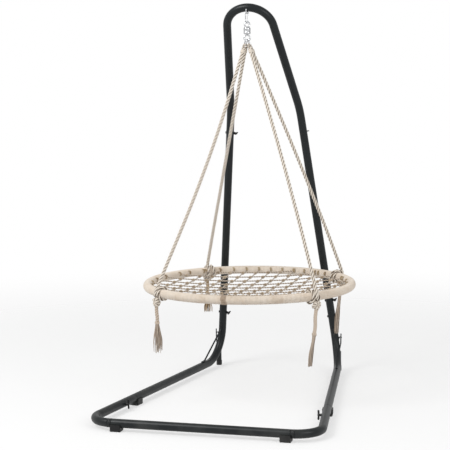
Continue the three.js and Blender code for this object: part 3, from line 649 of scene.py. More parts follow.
def knot_path(middle, outward, size):
    """A closed overhand knot: a curve that goes twice round while it passes three times through."""
    sideways = outward.cross(Vector((0, 0, 1)))
    points = []
    for i in range(96):
        angle = 2 * math.pi * i / 96
        reach = size * (1 + 0.46 * math.cos(1.5 * 2 * angle))
        points.append(middle + sideways * (reach * math.cos(2 * angle))
                      + Vector((0, 0, 1)) * (reach * 0.95 * math.sin(2 * angle))
                      + outward * (size * 0.62 * math.sin(3 * angle)))
    return points


def closed_strands(points, radius, turns):
    """Two strands that twist round a closed path a whole number of times."""
    frames = path_frames(points, closed=True)
    for n in range(2):
        strand = []
        for i, (point, (_, one, two)) in enumerate(zip(points, frames)):
            angle = 2 * math.pi * (turns * i / len(points) + n / 2)
            strand.append(point + (one * math.cos(angle) + two * math.sin(angle)) * radius * 0.5)
        yield strand


for number, (rope_name, tassel) in enumerate(TASSELS.items()):
    random.seed(40 + number)
    rope = ROPES[rope_name]
    bm = bmesh.new()
    outward = seat_point(rope["angle"], 1, 0) - seat_middle
    sideways = outward.cross(Vector((0, 0, 1)))
    for shift in HITCH_TURNS:
        middle = seat_point(rope["angle"] + math.degrees(shift / RING_RADIUS), RING_RADIUS, 0)
        loop = []
        for i in range(56):
            angle = 2 * math.pi * i / 56
            reach = WRAP_RADIUS + HITCH_RADIUS
            slide = sideways * (0.004 * math.sin(angle) * (1 if shift > 0 else -1))
            loop.append(middle + outward * (reach * math.cos(angle))
                        + Vector((0, 0, reach * math.sin(angle))) + slide)
        for strand in closed_strands(loop, HITCH_RADIUS, 3):
            rings = add_tube(bm, strand, HITCH_RADIUS * 0.56, 8, closed=True)
            mark_hollows(bm, rings, loop, HITCH_RADIUS)
    knot_middle = seat_point(rope["angle"], KNOT_DISTANCE, -KNOT_DROP)
    path = knot_path(knot_middle, outward, KNOT_SIZE)
    for strand in closed_strands(path, 0.0068, 9):
        mark_hollows(bm, add_tube(bm, strand, 0.0044, 8, closed=True), path, KNOT_CORD_RADIUS)
    hitch = finish_mesh(f"hitch_{rope_name}", bm, rope_cotton, "seat_body", "cotton_rope")

    lean = Vector((*tassel["lean"], 0))
    stem_top = knot_middle - Vector((0, 0, 0.012))
    stem_end = stem_top + lean * 0.5 - Vector((0, 0, tassel["stem"]))
    stem = [stem_top, stem_top.lerp(stem_end, 0.35) + sideways * 0.002,
            stem_top.lerp(stem_end, 0.7) - sideways * 0.002, stem_end]
    bm = bmesh.new()
    add_laid_rope(bm, smooth_path(stem, 0.003), STEM_RADIUS, 0.034 if tassel["plies"] == 3 else 0.022,
                  strands=tassel["plies"], sides=8)
    add_whipping(bm, stem_end + Vector((0, 0, 0.006)), Vector((0, 0, -BINDING_STEP)), outward, sideways,
                 reach=0.0096, turns=5, radius=0.0014)
    fall = stem_end.z - tassel["end"]
    for n in range(tassel["threads"]):
        angle = 2.399963 * n
        share = math.sqrt((n + 0.5) / tassel["threads"])
        aside = outward * math.cos(angle) + sideways * math.sin(angle)
        flare = tassel["spread"] * share * random.uniform(0.75, 1.25)
        drop = fall * random.uniform(1 - 0.5 * tassel["loose"], 1.0)
        kink = Vector((random.uniform(-1, 1), random.uniform(-1, 1), 0)) * 0.010 * tassel["loose"]
        down = Vector((0, 0, -drop))
        thread = [stem_end + aside * (0.0058 * share) + Vector((0, 0, 0.008)),
                  stem_end + aside * (0.0070 * share),
                  stem_end + aside * (flare * 0.62) + lean * 0.35 + down * 0.3,
                  stem_end + aside * (flare * 0.95) + lean * 0.75 + kink * 0.5 + down * 0.62,
                  stem_end + aside * (flare * 0.9) + lean + kink + down]
        line = smooth_path(thread, 0.009)
        taper = [THREAD_RADIUS - THREAD_TAPER * (i / len(line)) for i in range(len(line))]
        shade = random.uniform(0.70, 1.0)
        for ring in add_tube(bm, line, taper, 5):
            for vertex in ring:
                vertex[bm.verts.layers.float["crown"]] = shade
    look = golden_cotton if rope_name == "rear_left" else tassel_cotton
    finish_mesh(f"tassel_{rope_name}_yarns", bm, look, "seat_body", "cotton_rope", f"tassel_{rope_name}")


# Stand tubes: 38 mm steel tube in charcoal powder coat, bent cold and cut into seven lengths that
# push together over sleeves. Each end is rounded a little, which leaves a fine line at the joints.
TUBE_RADIUS = 0.019
TUBE_HEIGHT = 0.034
TUBE_FRONT = -0.700
FRONT_HALF = 0.515
REAR_HALF = 0.312
BASE_DEPTH = 1.433
CORNER_BEND = 0.108
REAR_BEND = 0.140
KNEE_HALF = 0.173
KNEE_SETBACK = 0.266
KNEE_HEIGHT = 1.331
KNEE_BEND = 0.250
ARCH_LEAN = math.radians(34.85)
ARCH_SPREAD = math.radians(7.28)
ARCH_BEND = 0.112
FRONT_SEAM = 0.390
SIDE_SEAM_SHARE = 0.314
LOWER_SEAM = 0.314
UPPER_SEAM = 1.173
SEAM_GAP = 0.0005
TUBE_SIDES = 48
SIDES = {"left": -1, "right": 1}

front_corner = Vector((FRONT_HALF, TUBE_FRONT, TUBE_HEIGHT))
rear_corner = Vector((REAR_HALF, TUBE_FRONT + BASE_DEPTH, TUBE_HEIGHT))
knee = Vector((KNEE_HALF, rear_corner.y - KNEE_SETBACK, KNEE_HEIGHT))
arch_rise = Vector((0, -math.sin(ARCH_LEAN), math.cos(ARCH_LEAN)))
arch_peak = Vector((0, knee.y, knee.z)) + arch_rise * (KNEE_HALF / math.tan(ARCH_SPREAD))
apex = arch_peak - arch_rise * (ARCH_BEND * (1 / math.sin(ARCH_SPREAD) - 1))
side_along = (rear_corner - front_corner).normalized()
upright_along = (knee - rear_corner).normalized()
side_seam = front_corner.lerp(rear_corner, SIDE_SEAM_SHARE)


def on_upright(height):
    """The point of the right upright's middle line at a height."""
    return rear_corner.lerp(knee, (height - TUBE_HEIGHT) / (KNEE_HEIGHT - TUBE_HEIGHT))


def mirrored(point, side):
    """A point or direction of the right half of the stand, taken to the given side."""
    return Vector((point.x * SIDES[side], point.y, point.z))


def bent_path(corners, bends, arc_step=math.radians(3)):
    """Straight runs between corner points, with an arc of the given radius at each corner."""
    path = [corners[0]]
    for before, corner, after, bend in zip(corners, corners[1:], corners[2:], bends):
        inward, onward = (corner - before).normalized(), (after - corner).normalized()
        angle = inward.angle(onward)
        across = (onward - inward * math.cos(angle)).normalized()
        start = corner - inward * bend * math.tan(angle / 2)
        count = math.ceil(angle / arc_step)
        for i in range(count + 1):
            part = angle * i / count
            path.append(start + inward * bend * math.sin(part) + across * bend * (1 - math.cos(part)))
    return [*path, corners[-1]]


def with_lips(path, radius):
    """The path with a few more points at its ends, where the tube's edge is rounded, and its radii."""
    lips = [(0.0, 0.0014), (0.0003, 0.0006), (0.0010, 0.0001), (0.0022, 0.0), (0.02, 0.0)]
    first = (path[1] - path[0]).normalized()
    last = (path[-2] - path[-1]).normalized()
    points = [path[0] + first * run for run, _ in lips] + path[1:-1]
    points += [path[-1] + last * run for run, _ in reversed(lips)]
    radii = [radius - drop for _, drop in lips] + [radius] * (len(path) - 2)
    return points, radii + [radius - drop for _, drop in reversed(lips)]


def powder_group():
    """The fine pebbled skin of a powder coat, and dust that settles in patches low down."""
    group, given, result = shader_group(
        "powder skin", [("Place", None), ("Pebble", 700.0), ("Dust height", 0.12)],
        ["Height", "Cloud", "Dust"])
    pebble = linked(group, "ShaderNodeTexNoise", Vector=given.outputs["Place"],
                    Scale=given.outputs["Pebble"], Detail=2.0, Roughness=0.5)
    cloud = linked(group, "ShaderNodeTexNoise", Vector=given.outputs["Place"], Scale=9.0, Detail=5.0,
                   Roughness=0.6)
    split = linked(group, "ShaderNodeSeparateXYZ", _0=given.outputs["Place"])
    low = linked(group, "ShaderNodeMapRange", Value=split.outputs[2],
                 From_Min=given.outputs["Dust height"], From_Max=0.0, To_Min=0.0, To_Max=1.0)
    patch = linked(group, "ShaderNodeMapRange", Value=cloud.outputs[0], From_Min=0.45, From_Max=0.75,
                   To_Min=0.0, To_Max=1.0)
    dust = linked(group, "ShaderNodeMath", {"operation": "MULTIPLY"}, _0=low.outputs[0],
                  _1=patch.outputs[0])
    group.links.new(pebble.outputs[0], result.inputs["Height"])
    group.links.new(cloud.outputs[0], result.inputs["Cloud"])
    group.links.new(dust.outputs[0], result.inputs["Dust"])
    return group


powder_skin = powder_group()


def coated(name, dark, light, dusty, rough, depth, pebble=700.0, gloss_level=0.5):
    """A pebbled, slightly cloudy skin, used for powder coat and for moulded plastic."""
    material = bpy.data.materials.new(name)
    material.use_nodes = True
    tree = material.node_tree
    shader = tree.nodes["Principled BSDF"]
    shader.inputs["Specular IOR Level"].default_value = gloss_level
    place = linked(tree, "ShaderNodeTexCoord")
    skin = linked(tree, "ShaderNodeGroup", {"node_tree": powder_skin}, Place=place.outputs["Object"],
                  Pebble=pebble, Dust_height=0.12)
    tint = linked(tree, "ShaderNodeMix", {"data_type": "RGBA"}, _0=skin.outputs["Cloud"],
                  _6=(*dark, 1), _7=(*light, 1))
    dust_share = linked(tree, "ShaderNodeMath", {"operation": "MULTIPLY"}, _0=skin.outputs["Dust"],
                        _1=0.35)
    colour = linked(tree, "ShaderNodeMix", {"data_type": "RGBA"}, _0=dust_share.outputs[0],
                    _6=tint.outputs[2], _7=(*dusty, 1))
    gloss = linked(tree, "ShaderNodeMapRange", Value=skin.outputs["Cloud"], To_Min=rough - 0.06,
                   To_Max=rough + 0.08)
    bump = linked(tree, "ShaderNodeBump", Height=skin.outputs["Height"], Strength=0.35, Distance=depth)
    tree.links.new(colour.outputs[2], shader.inputs["Base Color"])
    tree.links.new(gloss.outputs[0], shader.inputs["Roughness"])
    tree.links.new(bump.outputs[0], shader.inputs["Normal"])
    return material


powder_coat = coated("charcoal powder coat", (0.006, 0.008, 0.009), (0.014, 0.018, 0.020),
                     (0.12, 0.12, 0.11), 0.34, 0.0004, gloss_level=0.32)


def tube_piece(name, corners, bends, node):
    """One length of the stand's tube, bent at its corner points."""
    points, radii = with_lips(bent_path(corners, bends), TUBE_RADIUS)
    bm = bmesh.new()
    add_tube(bm, points, radii, TUBE_SIDES)
    return finish_mesh(name, bm, powder_coat, "stand", "powder_coat", node)


half_gap = SEAM_GAP / 2
front_end = Vector((FRONT_SEAM - half_gap, TUBE_FRONT, TUBE_HEIGHT))
tube_piece("front_rail", [mirrored(front_end, "left"), front_end], [], "front_tube")
for side in SIDES:
    corner = [Vector((FRONT_SEAM + half_gap, TUBE_FRONT, TUBE_HEIGHT)), front_corner,
              side_seam - side_along * half_gap]
    tube_piece(f"corner_rail_{side}", [mirrored(p, side) for p in corner], [CORNER_BEND],
               f"corner_tube_{side}")
    upright = [on_upright(LOWER_SEAM) + upright_along * half_gap,
               on_upright(UPPER_SEAM) - upright_along * half_gap]
    tube_piece(f"upright_tube_{side}", [mirrored(p, side) for p in upright], [], f"upright_{side}")
arch_foot = on_upright(UPPER_SEAM) + upright_along * half_gap
tube_piece("arch_tube", [mirrored(arch_foot, "left"), mirrored(knee, "left"), arch_peak, knee, arch_foot],
           [KNEE_BEND, ARCH_BEND, KNEE_BEND], "top_arch")


# Rear bends: each side tube turns up into an upright over a short welded leg, a plain post that
# carries the back of the stand, with a bead of weld where the two meet.
LEG_RADIUS = 0.0125
LEG_SETBACK = 0.028
LEG_LOW = 0.0033
LEG_TOP = 0.098
WELD_RADIUS = 0.0028

leg_foot = front_corner.lerp(rear_corner, (BASE_DEPTH - LEG_SETBACK) / BASE_DEPTH)
for side in SIDES:
    corners = [mirrored(p, side) for p in (
        side_seam + side_along * half_gap, rear_corner, on_upright(LOWER_SEAM) - upright_along * half_gap)]
    points, radii = with_lips(bent_path(corners, [REAR_BEND]), TUBE_RADIUS)
    bm = bmesh.new()
    add_tube(bm, points, radii, TUBE_SIDES)
    post = mirrored(leg_foot, side)
    heights = [LEG_LOW, LEG_LOW + 0.001, 0.05, LEG_TOP - 0.012, LEG_TOP]
    add_tube(bm, [Vector((post.x, post.y, z)) for z in heights],
             [LEG_RADIUS - 0.001, *[LEG_RADIUS] * 4], 32)
    bead = []
    for i in range(40):
        angle = 2 * math.pi * i / 40
        reach = LEG_RADIUS + 0.001
        x, y = post.x + reach * math.cos(angle), post.y + reach * math.sin(angle)
        middle = min(points, key=lambda p: abs(p.y - y) + (p.z > 0.25))
        drop = math.sqrt(max(0.0, TUBE_RADIUS**2 - (x - middle.x)**2))
        bead.append(Vector((x, y, middle.z - drop)))
    add_tube(bm, bead, [WELD_RADIUS * (1 + 0.18 * (i % 2)) for i in range(40)], 8, closed=True)
    finish_mesh(f"rear_bend_tube_{side}", bm, powder_coat, "stand", "powder_coat", f"rear_bend_{side}")


# Bolts and wing knobs: at each joint a bolt goes through both tubes, with a low black cap on one side
# and a moulded wing knob on the other. The right upright's knobs face outwards, and the top one back.
HEAD_RADIUS = 0.0065
HEAD_HEIGHT = 0.004
HEAD_SEAT = TUBE_RADIUS + 0.0003
KNOB_LENGTH = 0.017
WING_HALF = 0.022
WING_HALF_THICKNESS = 0.0027
BOLTS = {
    "side": {"seam": side_seam, "along": side_along, "offset": -0.110, "right_turn": 0},
    "lower": {"seam": on_upright(LOWER_SEAM), "along": upright_along, "offset": -0.032, "right_turn": 180},
    "middle": {"seam": on_upright(LOWER_SEAM), "along": upright_along, "offset": 0.054, "right_turn": 180},
    "upper": {"seam": on_upright(UPPER_SEAM), "along": upright_along, "offset": 0.044, "right_turn": -90},
}
black_plastic = coated("black moulded plastic", (0.004, 0.004, 0.0045), (0.010, 0.010, 0.011),
                       (0.10, 0.10, 0.09), 0.46, 0.0002, pebble=1600.0, gloss_level=0.4)


def add_lathe(bm, profile, place, sides=32):
    """Adds a turned shape, from (radius, height) points that run upwards, placed by a matrix."""
    rings = []
    for radius, height in profile:
        if radius == 0:
            rings.append([bm.verts.new(place @ Vector((0, 0, height)))])
            continue
        turns = [2 * math.pi * k / sides for k in range(sides)]
        rings.append([bm.verts.new(place @ Vector((radius * math.cos(t), radius * math.sin(t), height)))
                      for t in turns])
    for low, high in zip(rings, rings[1:]):
        for k in range(sides):
            nxt = (k + 1) % sides
            corners = [low[k % len(low)], low[nxt % len(low)], high[nxt % len(high)], high[k % len(high)]]
            face = bm.faces.new(list(dict.fromkeys(corners)))
            face.smooth = True


def bolt_place(bolt, side):
    """The matrix of a bolt: its Z points away from its knob, and its Y runs along the tube."""
    point = mirrored(bolt["seam"] + bolt["along"] * bolt["offset"], side)
    along = mirrored(bolt["along"], side)
    outward = Vector((SIDES[side], 0, 0))
    outward = (outward - along * outward.dot(along)).normalized()
    across = along.cross(outward)
    place = Matrix.Translation(point) @ Matrix((across, along, outward)).transposed().to_4x4()
    turn = math.radians(bolt["right_turn"]) if side == "right" else 0
    return place @ Matrix.Rotation(turn, 4, "Y")


def add_knob(bm, place):
    """Adds a wing knob: a flared boss with a rounded bar across its end."""
    boss = [(0.0, 0.0), (0.0068, 0.0), (0.0070, 0.0012), (0.0056, 0.0050), (0.0050, 0.0110),
            (0.0046, KNOB_LENGTH - 0.0008), (0.0036, KNOB_LENGTH), (0.0, KNOB_LENGTH)]
    down = place @ Matrix.Rotation(math.pi, 4, "Y") @ Matrix.Translation((0, 0, HEAD_SEAT))
    add_lathe(bm, boss, down, 28)
    bar = [Vector((WING_HALF * t, 0, 0.0118 + 0.0012 * abs(t))) for t in
           (-1, -0.985, -0.94, -0.8, -0.6, -0.35, -0.15, 0, 0.15, 0.35, 0.6, 0.8, 0.94, 0.985, 1)]
    height = [0.0012, 0.0026, 0.0037, 0.0046, 0.0046, 0.0041, 0.0044, 0.0048, 0.0044, 0.0041, 0.0046,
              0.0046, 0.0037, 0.0026, 0.0012]
    flat = [WING_HALF_THICKNESS / 0.0046] * len(bar)
    frames = [(Vector((1, 0, 0)), Vector((0, 0, 1)), Vector((0, -1, 0)))] * len(bar)
    rings = add_tube(bm, bar, height, 20, frames=frames, squash=flat)
    for ring in rings:
        for vertex in ring:
            vertex.co = down @ vertex.co


bm = bmesh.new()
head = [(0.0, 0.0), (HEAD_RADIUS - 0.0004, 0.0), (HEAD_RADIUS, 0.0005), (HEAD_RADIUS, 0.0016),
        (HEAD_RADIUS * 0.9, 0.0030), (HEAD_RADIUS * 0.6, 0.0038), (0.0022, HEAD_HEIGHT),
        (0.0, HEAD_HEIGHT)]
bolt_nodes = []
for bolt_name, bolt in BOLTS.items():
    for side in SIDES:
        place = bolt_place(bolt, side)
        add_lathe(bm, head, place @ Matrix.Translation((0, 0, HEAD_SEAT)), 28)
        bolt_nodes.append(f"{bolt_name}_bolt_{side}")
        knob_name = f"{bolt_name}_wing_knob_{side}"
        knob = bmesh.new()
        add_knob(knob, place)
        finish_mesh(f"{knob_name}_moulding", knob, black_plastic, f"{knob_name}_body", "black_plastic",
                    knob_name)
finish_mesh("bolt_caps", bm, black_plastic, "stand", "black_plastic", *bolt_nodes)


# Feet: black plastic saddles that clip round the base tubes from below, and cups on the rear legs.
FOOT_LENGTH = 0.046
FOOT_HALF = 0.0235
FOOT_LIP = 0.032
FOOT_CUP = TUBE_RADIUS + 0.0006
FRONT_FOOT = 0.370
SIDE_FOOT_OFFSET = 0.024
CAP_RADIUS = 0.0143
CAP_HEIGHT = 0.024

saddle = [(-FOOT_HALF + 0.004, 0.0), (FOOT_HALF - 0.004, 0.0), (FOOT_HALF, 0.005), (FOOT_HALF, FOOT_LIP)]
lip = math.asin((TUBE_HEIGHT - FOOT_LIP) / FOOT_CUP)
for i in range(25):
    angle = -lip - (math.pi - 2 * lip) * i / 24
    saddle.append((FOOT_CUP * math.cos(angle), TUBE_HEIGHT + FOOT_CUP * math.sin(angle)))
saddle += [(-FOOT_HALF, FOOT_LIP), (-FOOT_HALF, 0.005)]
side_foot = side_seam + side_along * SIDE_FOOT_OFFSET
feet = {"front_foot": (Vector((FRONT_FOOT, TUBE_FRONT, 0)), Vector((1, 0, 0))),
        "side_foot": (Vector((side_foot.x, side_foot.y, 0)), side_along)}
for foot_name, (foot_middle, foot_along) in feet.items():
    for side in SIDES:
        middle, along = mirrored(foot_middle, side), mirrored(foot_along, side)
        across = along.cross(Vector((0, 0, 1)))
        bm = bmesh.new()
        ends = [[bm.verts.new(middle + along * run + across * x + Vector((0, 0, z))) for x, z in saddle]
                for run in (-FOOT_LENGTH / 2, FOOT_LENGTH / 2)]
        for a, b, c, d in zip(ends[0], ends[0][1:] + ends[0][:1], ends[1][1:] + ends[1][:1], ends[1]):
            bm.faces.new((a, b, c, d))
        for end in ends:
            bm.faces.new(end)
        bmesh.ops.recalc_face_normals(bm, faces=bm.faces)
        sharp = [edge for edge in bm.edges if edge.calc_face_angle(0) > math.radians(35)]
        bmesh.ops.bevel(bm, geom=sharp, offset=0.0011, segments=2, affect="EDGES", clamp_overlap=True)
        finish_mesh(f"{foot_name}_{side}_saddle", bm, black_plastic, "stand", "black_plastic",
                    f"{foot_name}_{side}")
for side in SIDES:
    post = mirrored(leg_foot, side)
    bm = bmesh.new()
    cup = [(0.0, 0.0), (CAP_RADIUS - 0.0015, 0.0), (CAP_RADIUS, 0.0015), (CAP_RADIUS, CAP_HEIGHT - 0.004),
           (CAP_RADIUS + 0.0006, CAP_HEIGHT - 0.0028), (CAP_RADIUS + 0.0006, CAP_HEIGHT - 0.0006),
           (CAP_RADIUS, CAP_HEIGHT), (LEG_RADIUS + 0.0003, CAP_HEIGHT), (LEG_RADIUS + 0.0003, 0.003),
           (0.0, 0.003)]
    add_lathe(bm, cup, Matrix.Translation((post.x, post.y, 0)), 36)
    finish_mesh(f"leg_cap_{side}_cup", bm, black_plastic, "stand", "black_plastic", f"leg_cap_{side}")


# Braces: thin steel rods across the rear bends, pressed flat at both ends. The upper end is screwed
# to the upright, and the lower end lies on the side tube, where it is welded.
BRACE_RADIUS = 0.004
BRACE_TOP = 0.214
BRACE_REACH = 0.196
TAB_LENGTH = 0.030
TAB_THICKNESS = 0.004
SCREW_RADIUS = 0.006

for side in SIDES:
    up, back = mirrored(upright_along, side), mirrored(side_along, side)
    on_tube = mirrored(on_upright(BRACE_TOP), side)
    forwards = -(back - up * back.dot(up)).normalized()
    clear = HEAD_SEAT + TAB_THICKNESS / 2
    top = on_tube + forwards * clear
    bottom = mirrored(rear_corner - side_along * (BRACE_REACH + TAB_LENGTH), side) + Vector((0, 0, clear))
    lift = BRACE_RADIUS - TAB_THICKNESS / 4
    low = bottom + back * (TAB_LENGTH * 0.62) + Vector((0, 0, lift))
    high = top - up * (TAB_LENGTH * 0.72) + forwards * lift
    line = [bottom - back * TAB_LENGTH / 2, bottom - back * TAB_LENGTH * 0.46, bottom - back * 0.006,
            bottom + back * TAB_LENGTH * 0.25, low, low.lerp(high, 0.08), low.lerp(high, 0.5),
            low.lerp(high, 0.92), high, top - up * TAB_LENGTH * 0.30, top + up * 0.006,
            top + up * TAB_LENGTH * 0.46, top + up * TAB_LENGTH / 2]
    wide = [0.0050, 0.0072, 0.0075, 0.0070, 0.0050, 0.0042, 0.0040, 0.0042, 0.0050, 0.0070, 0.0075, 0.0072,
            0.0050]
    flat = [0.27, 0.27, 0.27, 0.29, 0.60, 0.95, 1.0, 0.95, 0.60, 0.29, 0.27, 0.27, 0.27]
    frames = []
    for i in range(len(line)):
        along = (line[min(i + 1, len(line) - 1)] - line[max(i - 1, 0)]).normalized()
        normal = Vector((0, 0, 1)) if i < len(line) / 2 else forwards
        across = along.cross(normal).normalized()
        frames.append((along, across, along.cross(across)))
    bm = bmesh.new()
    add_tube(bm, line, wide, 20, frames=frames, squash=flat)
    finish_mesh(f"brace_{side}_rod", bm, powder_coat, "stand", "powder_coat", f"brace_rod_{side}")
    seat_turn = forwards.to_track_quat("Z", "Y").to_matrix().to_4x4()
    under_head = Matrix.Translation(on_tube + forwards * (clear + TAB_THICKNESS / 2)) @ seat_turn
    bm = bmesh.new()
    washer = [(0.0, 0.0), (SCREW_RADIUS + 0.001, 0.0), (SCREW_RADIUS + 0.001, 0.0009),
              (SCREW_RADIUS - 0.0012, 0.0009), (SCREW_RADIUS - 0.0012, 0.0034), (0.0036, 0.0043),
              (0.0024, 0.0043), (0.0022, 0.0026), (0.0, 0.0026)]
    add_lathe(bm, washer, under_head, 28)
    finish_mesh(f"brace_screw_{side}_head", bm, black_plastic, "stand", "black_plastic",
                f"brace_screw_{side}")


# Hanger: a welded wire loop under the arch, a quick link with its screw sleeve, the swivel's eye and
# turned housing, and below it the stem's ring with two small links. All of it is bright plated steel.
WIRE = 0.003
LOOP_RADIUS = 0.017
LOOP_DROP = 0.009
LINK_WIRE = 0.0025
LINK_HALF = 0.008
LINK_TURN = math.radians(-20)
FLAT_FACE_AREA = 2e-5
EYE_WIRE = 0.0035
EYE_RADIUS = 0.013
EYE_TURN = math.radians(45)
STEM_RING_RADIUS = 0.0135
STEM_RING_TURN = math.radians(20)
ROPE_LINK_TURN = math.radians(-50)
ROPE_LINK_TILT = {"left": math.radians(18), "right": math.radians(20)}
ROPE_LINK_PLACE = math.radians(30)


def bright_steel():
    """Polished plating with fine turning marks and faint smears."""
    material = bpy.data.materials.new("bright plated steel")
    material.use_nodes = True
    tree = material.node_tree
    shader = tree.nodes["Principled BSDF"]
    shader.inputs["Metallic"].default_value = 1.0
    place = linked(tree, "ShaderNodeTexCoord")
    squeezed = linked(tree, "ShaderNodeMapping", Vector=place.outputs["Object"], Scale=(40, 40, 1600))
    marks = linked(tree, "ShaderNodeTexNoise", Vector=squeezed.outputs[0], Scale=1.0, Detail=3.0)
    smears = linked(tree, "ShaderNodeTexNoise", Vector=place.outputs["Object"], Scale=160.0, Detail=4.0)
    colour = linked(tree, "ShaderNodeMix", {"data_type": "RGBA"}, _0=smears.outputs[0],
                    _6=(0.62, 0.63, 0.65, 1), _7=(0.90, 0.91, 0.92, 1))
    gloss = linked(tree, "ShaderNodeMapRange", Value=smears.outputs[0], To_Min=0.14, To_Max=0.30)
    bump = linked(tree, "ShaderNodeBump", Height=marks.outputs[0], Strength=0.12, Distance=0.0002)
    tree.links.new(colour.outputs[2], shader.inputs["Base Color"])
    tree.links.new(gloss.outputs[0], shader.inputs["Roughness"])
    tree.links.new(bump.outputs[0], shader.inputs["Normal"])
    return material


plated = bright_steel()


def oval(half_width, half_height, count=48):
    """A closed upright oval in the plane Y = 0 with round ends and straight sides."""
    points = []
    for i in range(count):
        angle = 2 * math.pi * i / count
        rise = half_width * math.sin(angle) + math.copysign(half_height - half_width, math.sin(angle))
        points.append(Vector((half_width * math.cos(angle), 0, rise)))
    return points


def add_wire(bm, points, radius, place, closed=True):
    """Adds round wire along a path that is placed by a matrix."""
    add_tube(bm, [place @ p for p in points], radius, 16, closed=closed)


hanger_level = apex.z - TUBE_RADIUS - LOOP_DROP
link_low, link_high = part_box("quick_link")
housing_low, housing_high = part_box("swivel_housing")
stem_low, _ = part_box("swivel_stem_ring")
link_middle = (link_low + link_high) / 2
hang_y = apex.y

bm = bmesh.new()
half_ring = []
start = math.asin((LOOP_RADIUS - LOOP_DROP) / LOOP_RADIUS) * 0.45
for i in range(33):
    angle = start - (math.pi + 2 * start) * i / 32
    half_ring.append(Vector((0, LOOP_RADIUS * math.cos(angle), LOOP_RADIUS * math.sin(angle))))
add_wire(bm, half_ring, WIRE, Matrix.Translation((0, hang_y, hanger_level + LOOP_RADIUS)), closed=False)
finish_mesh("hanger_loop_wire", bm, plated, "stand", "bright_hardware", "hanger_loop")

bm = bmesh.new()
link_place = Matrix.Translation(link_middle) @ Matrix.Rotation(LINK_TURN, 4, "Z")
link_half = (link_high.z - link_low.z) / 2 - LINK_WIRE
add_wire(bm, oval(LINK_HALF, link_half), LINK_WIRE, link_place)
sleeve = [(0.0031, -0.0085), (0.0044, -0.0082), (0.0044, 0.0082), (0.0031, 0.0085)]
add_lathe(bm, sleeve, link_place @ Matrix.Translation((LINK_HALF, 0, 0.002)), 6)
for face in bm.faces:
    if len(face.verts) == 4 and face.calc_area() > FLAT_FACE_AREA:
        face.smooth = False
finish_mesh("quick_link_wire", bm, plated, "quick_link_body", "bright_hardware", "quick_link")

bm = bmesh.new()
circle = oval(EYE_RADIUS, EYE_RADIUS)
eye_middle = Vector((0, hang_y, housing_high.z - EYE_RADIUS - EYE_WIRE))
add_wire(bm, circle, EYE_WIRE, Matrix.Translation(eye_middle) @ Matrix.Rotation(EYE_TURN, 4, "Z"))
housing = [(0.0053, 0.0), (0.0136, 0.0), (0.0150, 0.0008), (0.0158, 0.0024), (0.0160, 0.0060),
           (0.0160, 0.0118), (0.0151, 0.0126), (0.0151, 0.0140), (0.0160, 0.0148), (0.0160, 0.0262),
           (0.0155, 0.0284), (0.0140, 0.0304), (0.0108, 0.0322), (0.0060, 0.0330), (0.0, 0.0330)]
stem_pocket = [(0.0, 0.006), (0.0053, 0.006)]
add_lathe(bm, stem_pocket + housing, Matrix.Translation((0, hang_y, housing_low.z)), 48)
finish_mesh("swivel_housing_turned", bm, plated, "swivel_body", "bright_hardware", "swivel_housing")

bm = bmesh.new()
stem_ring_middle = Vector((0, hang_y, stem_low.z + STEM_RING_RADIUS + EYE_WIRE))
add_wire(bm, oval(STEM_RING_RADIUS, STEM_RING_RADIUS), EYE_WIRE,
         Matrix.Translation(stem_ring_middle) @ Matrix.Rotation(STEM_RING_TURN, 4, "Z"))
collar_low = STEM_RING_RADIUS - 0.001
collar = [(0.0, collar_low), (0.0055, collar_low), (0.0078, collar_low + 0.0012),
          (0.0080, collar_low + 0.0040), (0.0048, collar_low + 0.0046), (0.0048, 0.0290), (0.0, 0.0290)]
add_lathe(bm, collar, Matrix.Translation(stem_ring_middle), 36)
finish_mesh("swivel_stem_turned", bm, plated, "seat_body", "bright_hardware", "swivel_stem_ring")

ROPE_LINK_HALF_LENGTH = 0.0155
hook_reach = STEM_RING_RADIUS - EYE_WIRE - LINK_WIRE - 0.0004
for side, sign in SIDES.items():
    run = hook_reach * math.sin(ROPE_LINK_PLACE) * sign
    hook = stem_ring_middle + Vector((run * math.cos(STEM_RING_TURN), run * math.sin(STEM_RING_TURN),
                                      -hook_reach * math.cos(ROPE_LINK_PLACE)))
    place = Matrix.Translation(hook) @ Matrix.Rotation(-sign * ROPE_LINK_TILT[side], 4, "Y")
    place = place @ Matrix.Rotation(ROPE_LINK_TURN, 4, "Z")
    place = place @ Matrix.Translation((0, 0, -ROPE_LINK_HALF_LENGTH))
    bm = bmesh.new()
    add_wire(bm, oval(LINK_HALF, ROPE_LINK_HALF_LENGTH), LINK_WIRE, place)
    finish_mesh(f"rope_link_{side}_wire", bm, plated, "seat_body", "bright_hardware", f"rope_link_{side}")


# Sleeves: zinc-plated steel tube inside the joints, one to each, that the bolts pass through. The
# outer tubes hide them, so they keep their plain shape.
zinc = bright_steel()
zinc.name = "zinc plated steel"
zinc.node_tree.nodes["Principled BSDF"].inputs["Metallic"].default_value = 0.9
for joint in ("side", "lower", "upper"):
    for side in SIDES:
        sleeve_mesh = frame["nodes"][f"{joint}_sleeve_{side}"].data
        sleeve_mesh.materials.clear()
        sleeve_mesh.materials.append(zinc)


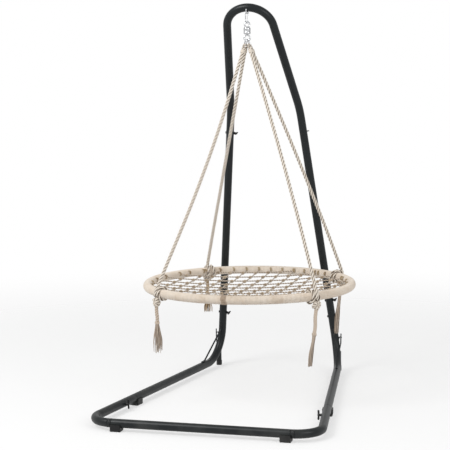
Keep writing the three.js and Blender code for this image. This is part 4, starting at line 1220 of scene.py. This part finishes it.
# Floor and light: a plain pale studio floor that fades into a white surround, with two broad soft
# lights above and in front. The surround lights the swing less than it shows.
FLOOR_RADIUS = 4.5
FLOOR_FADE = 1.6
bm = bmesh.new()
bmesh.ops.create_circle(bm, cap_ends=True, segments=96, radius=FLOOR_RADIUS)
floor_mesh = bpy.data.meshes.new("floor")
bm.to_mesh(floor_mesh)
bm.free()
floor = bpy.data.objects.new("floor", floor_mesh)
bpy.context.scene.collection.objects.link(floor)
floor_material = bpy.data.materials.new("pale floor")
floor_material.use_nodes = True
floor_tree = floor_material.node_tree
floor_shader = floor_tree.nodes["Principled BSDF"]
floor_shader.inputs["Base Color"].default_value = (0.93, 0.93, 0.93, 1)
floor_shader.inputs["Roughness"].default_value = 0.9
floor_shader.inputs["Specular IOR Level"].default_value = 0.2
floor_place = linked(floor_tree, "ShaderNodeTexCoord")
floor_reach = linked(floor_tree, "ShaderNodeVectorMath", {"operation": "LENGTH"},
                     _0=floor_place.outputs["Object"])
floor_fade = linked(floor_tree, "ShaderNodeMapRange", {"interpolation_type": "SMOOTHSTEP"},
                    Value=floor_reach.outputs["Value"], From_Min=FLOOR_FADE, From_Max=FLOOR_RADIUS,
                    To_Min=0.45, To_Max=0.0)
floor_tree.links.new(floor_fade.outputs[0], floor_shader.inputs["Alpha"])
floor_mesh.materials.append(floor_material)

world = bpy.data.worlds.new("studio")
world.use_nodes = True
surround = world.node_tree.nodes["Background"]
surround.inputs["Color"].default_value = (1.0, 1.0, 1.0, 1)
seen = linked(world.node_tree, "ShaderNodeLightPath")
glow = linked(world.node_tree, "ShaderNodeMapRange", Value=seen.outputs["Is Camera Ray"], To_Min=0.62,
              To_Max=1.0)
world.node_tree.links.new(glow.outputs[0], surround.inputs["Strength"])
bpy.context.scene.world = world
bpy.context.scene.view_settings.view_transform = "Standard"
LIGHTS = {
    "key": {"place": (-2.6, -3.2, 4.4), "size": 2.4, "power": 150.0},
    "fill": {"place": (3.6, -2.6, 2.6), "size": 2.0, "power": 45.0},
}
for light_name, light in LIGHTS.items():
    lamp = bpy.data.lights.new(light_name, "AREA")
    lamp.size = light["size"]
    lamp.energy = light["power"]
    lamp_object = bpy.data.objects.new(light_name, lamp)
    bpy.context.scene.collection.objects.link(lamp_object)
    aim = Vector((0, 0, 0.8)) - Vector(light["place"])
    turned = aim.to_track_quat("-Z", "Y").to_matrix().to_4x4()
    lamp_object.matrix_world = Matrix.Translation(light["place"]) @ turned
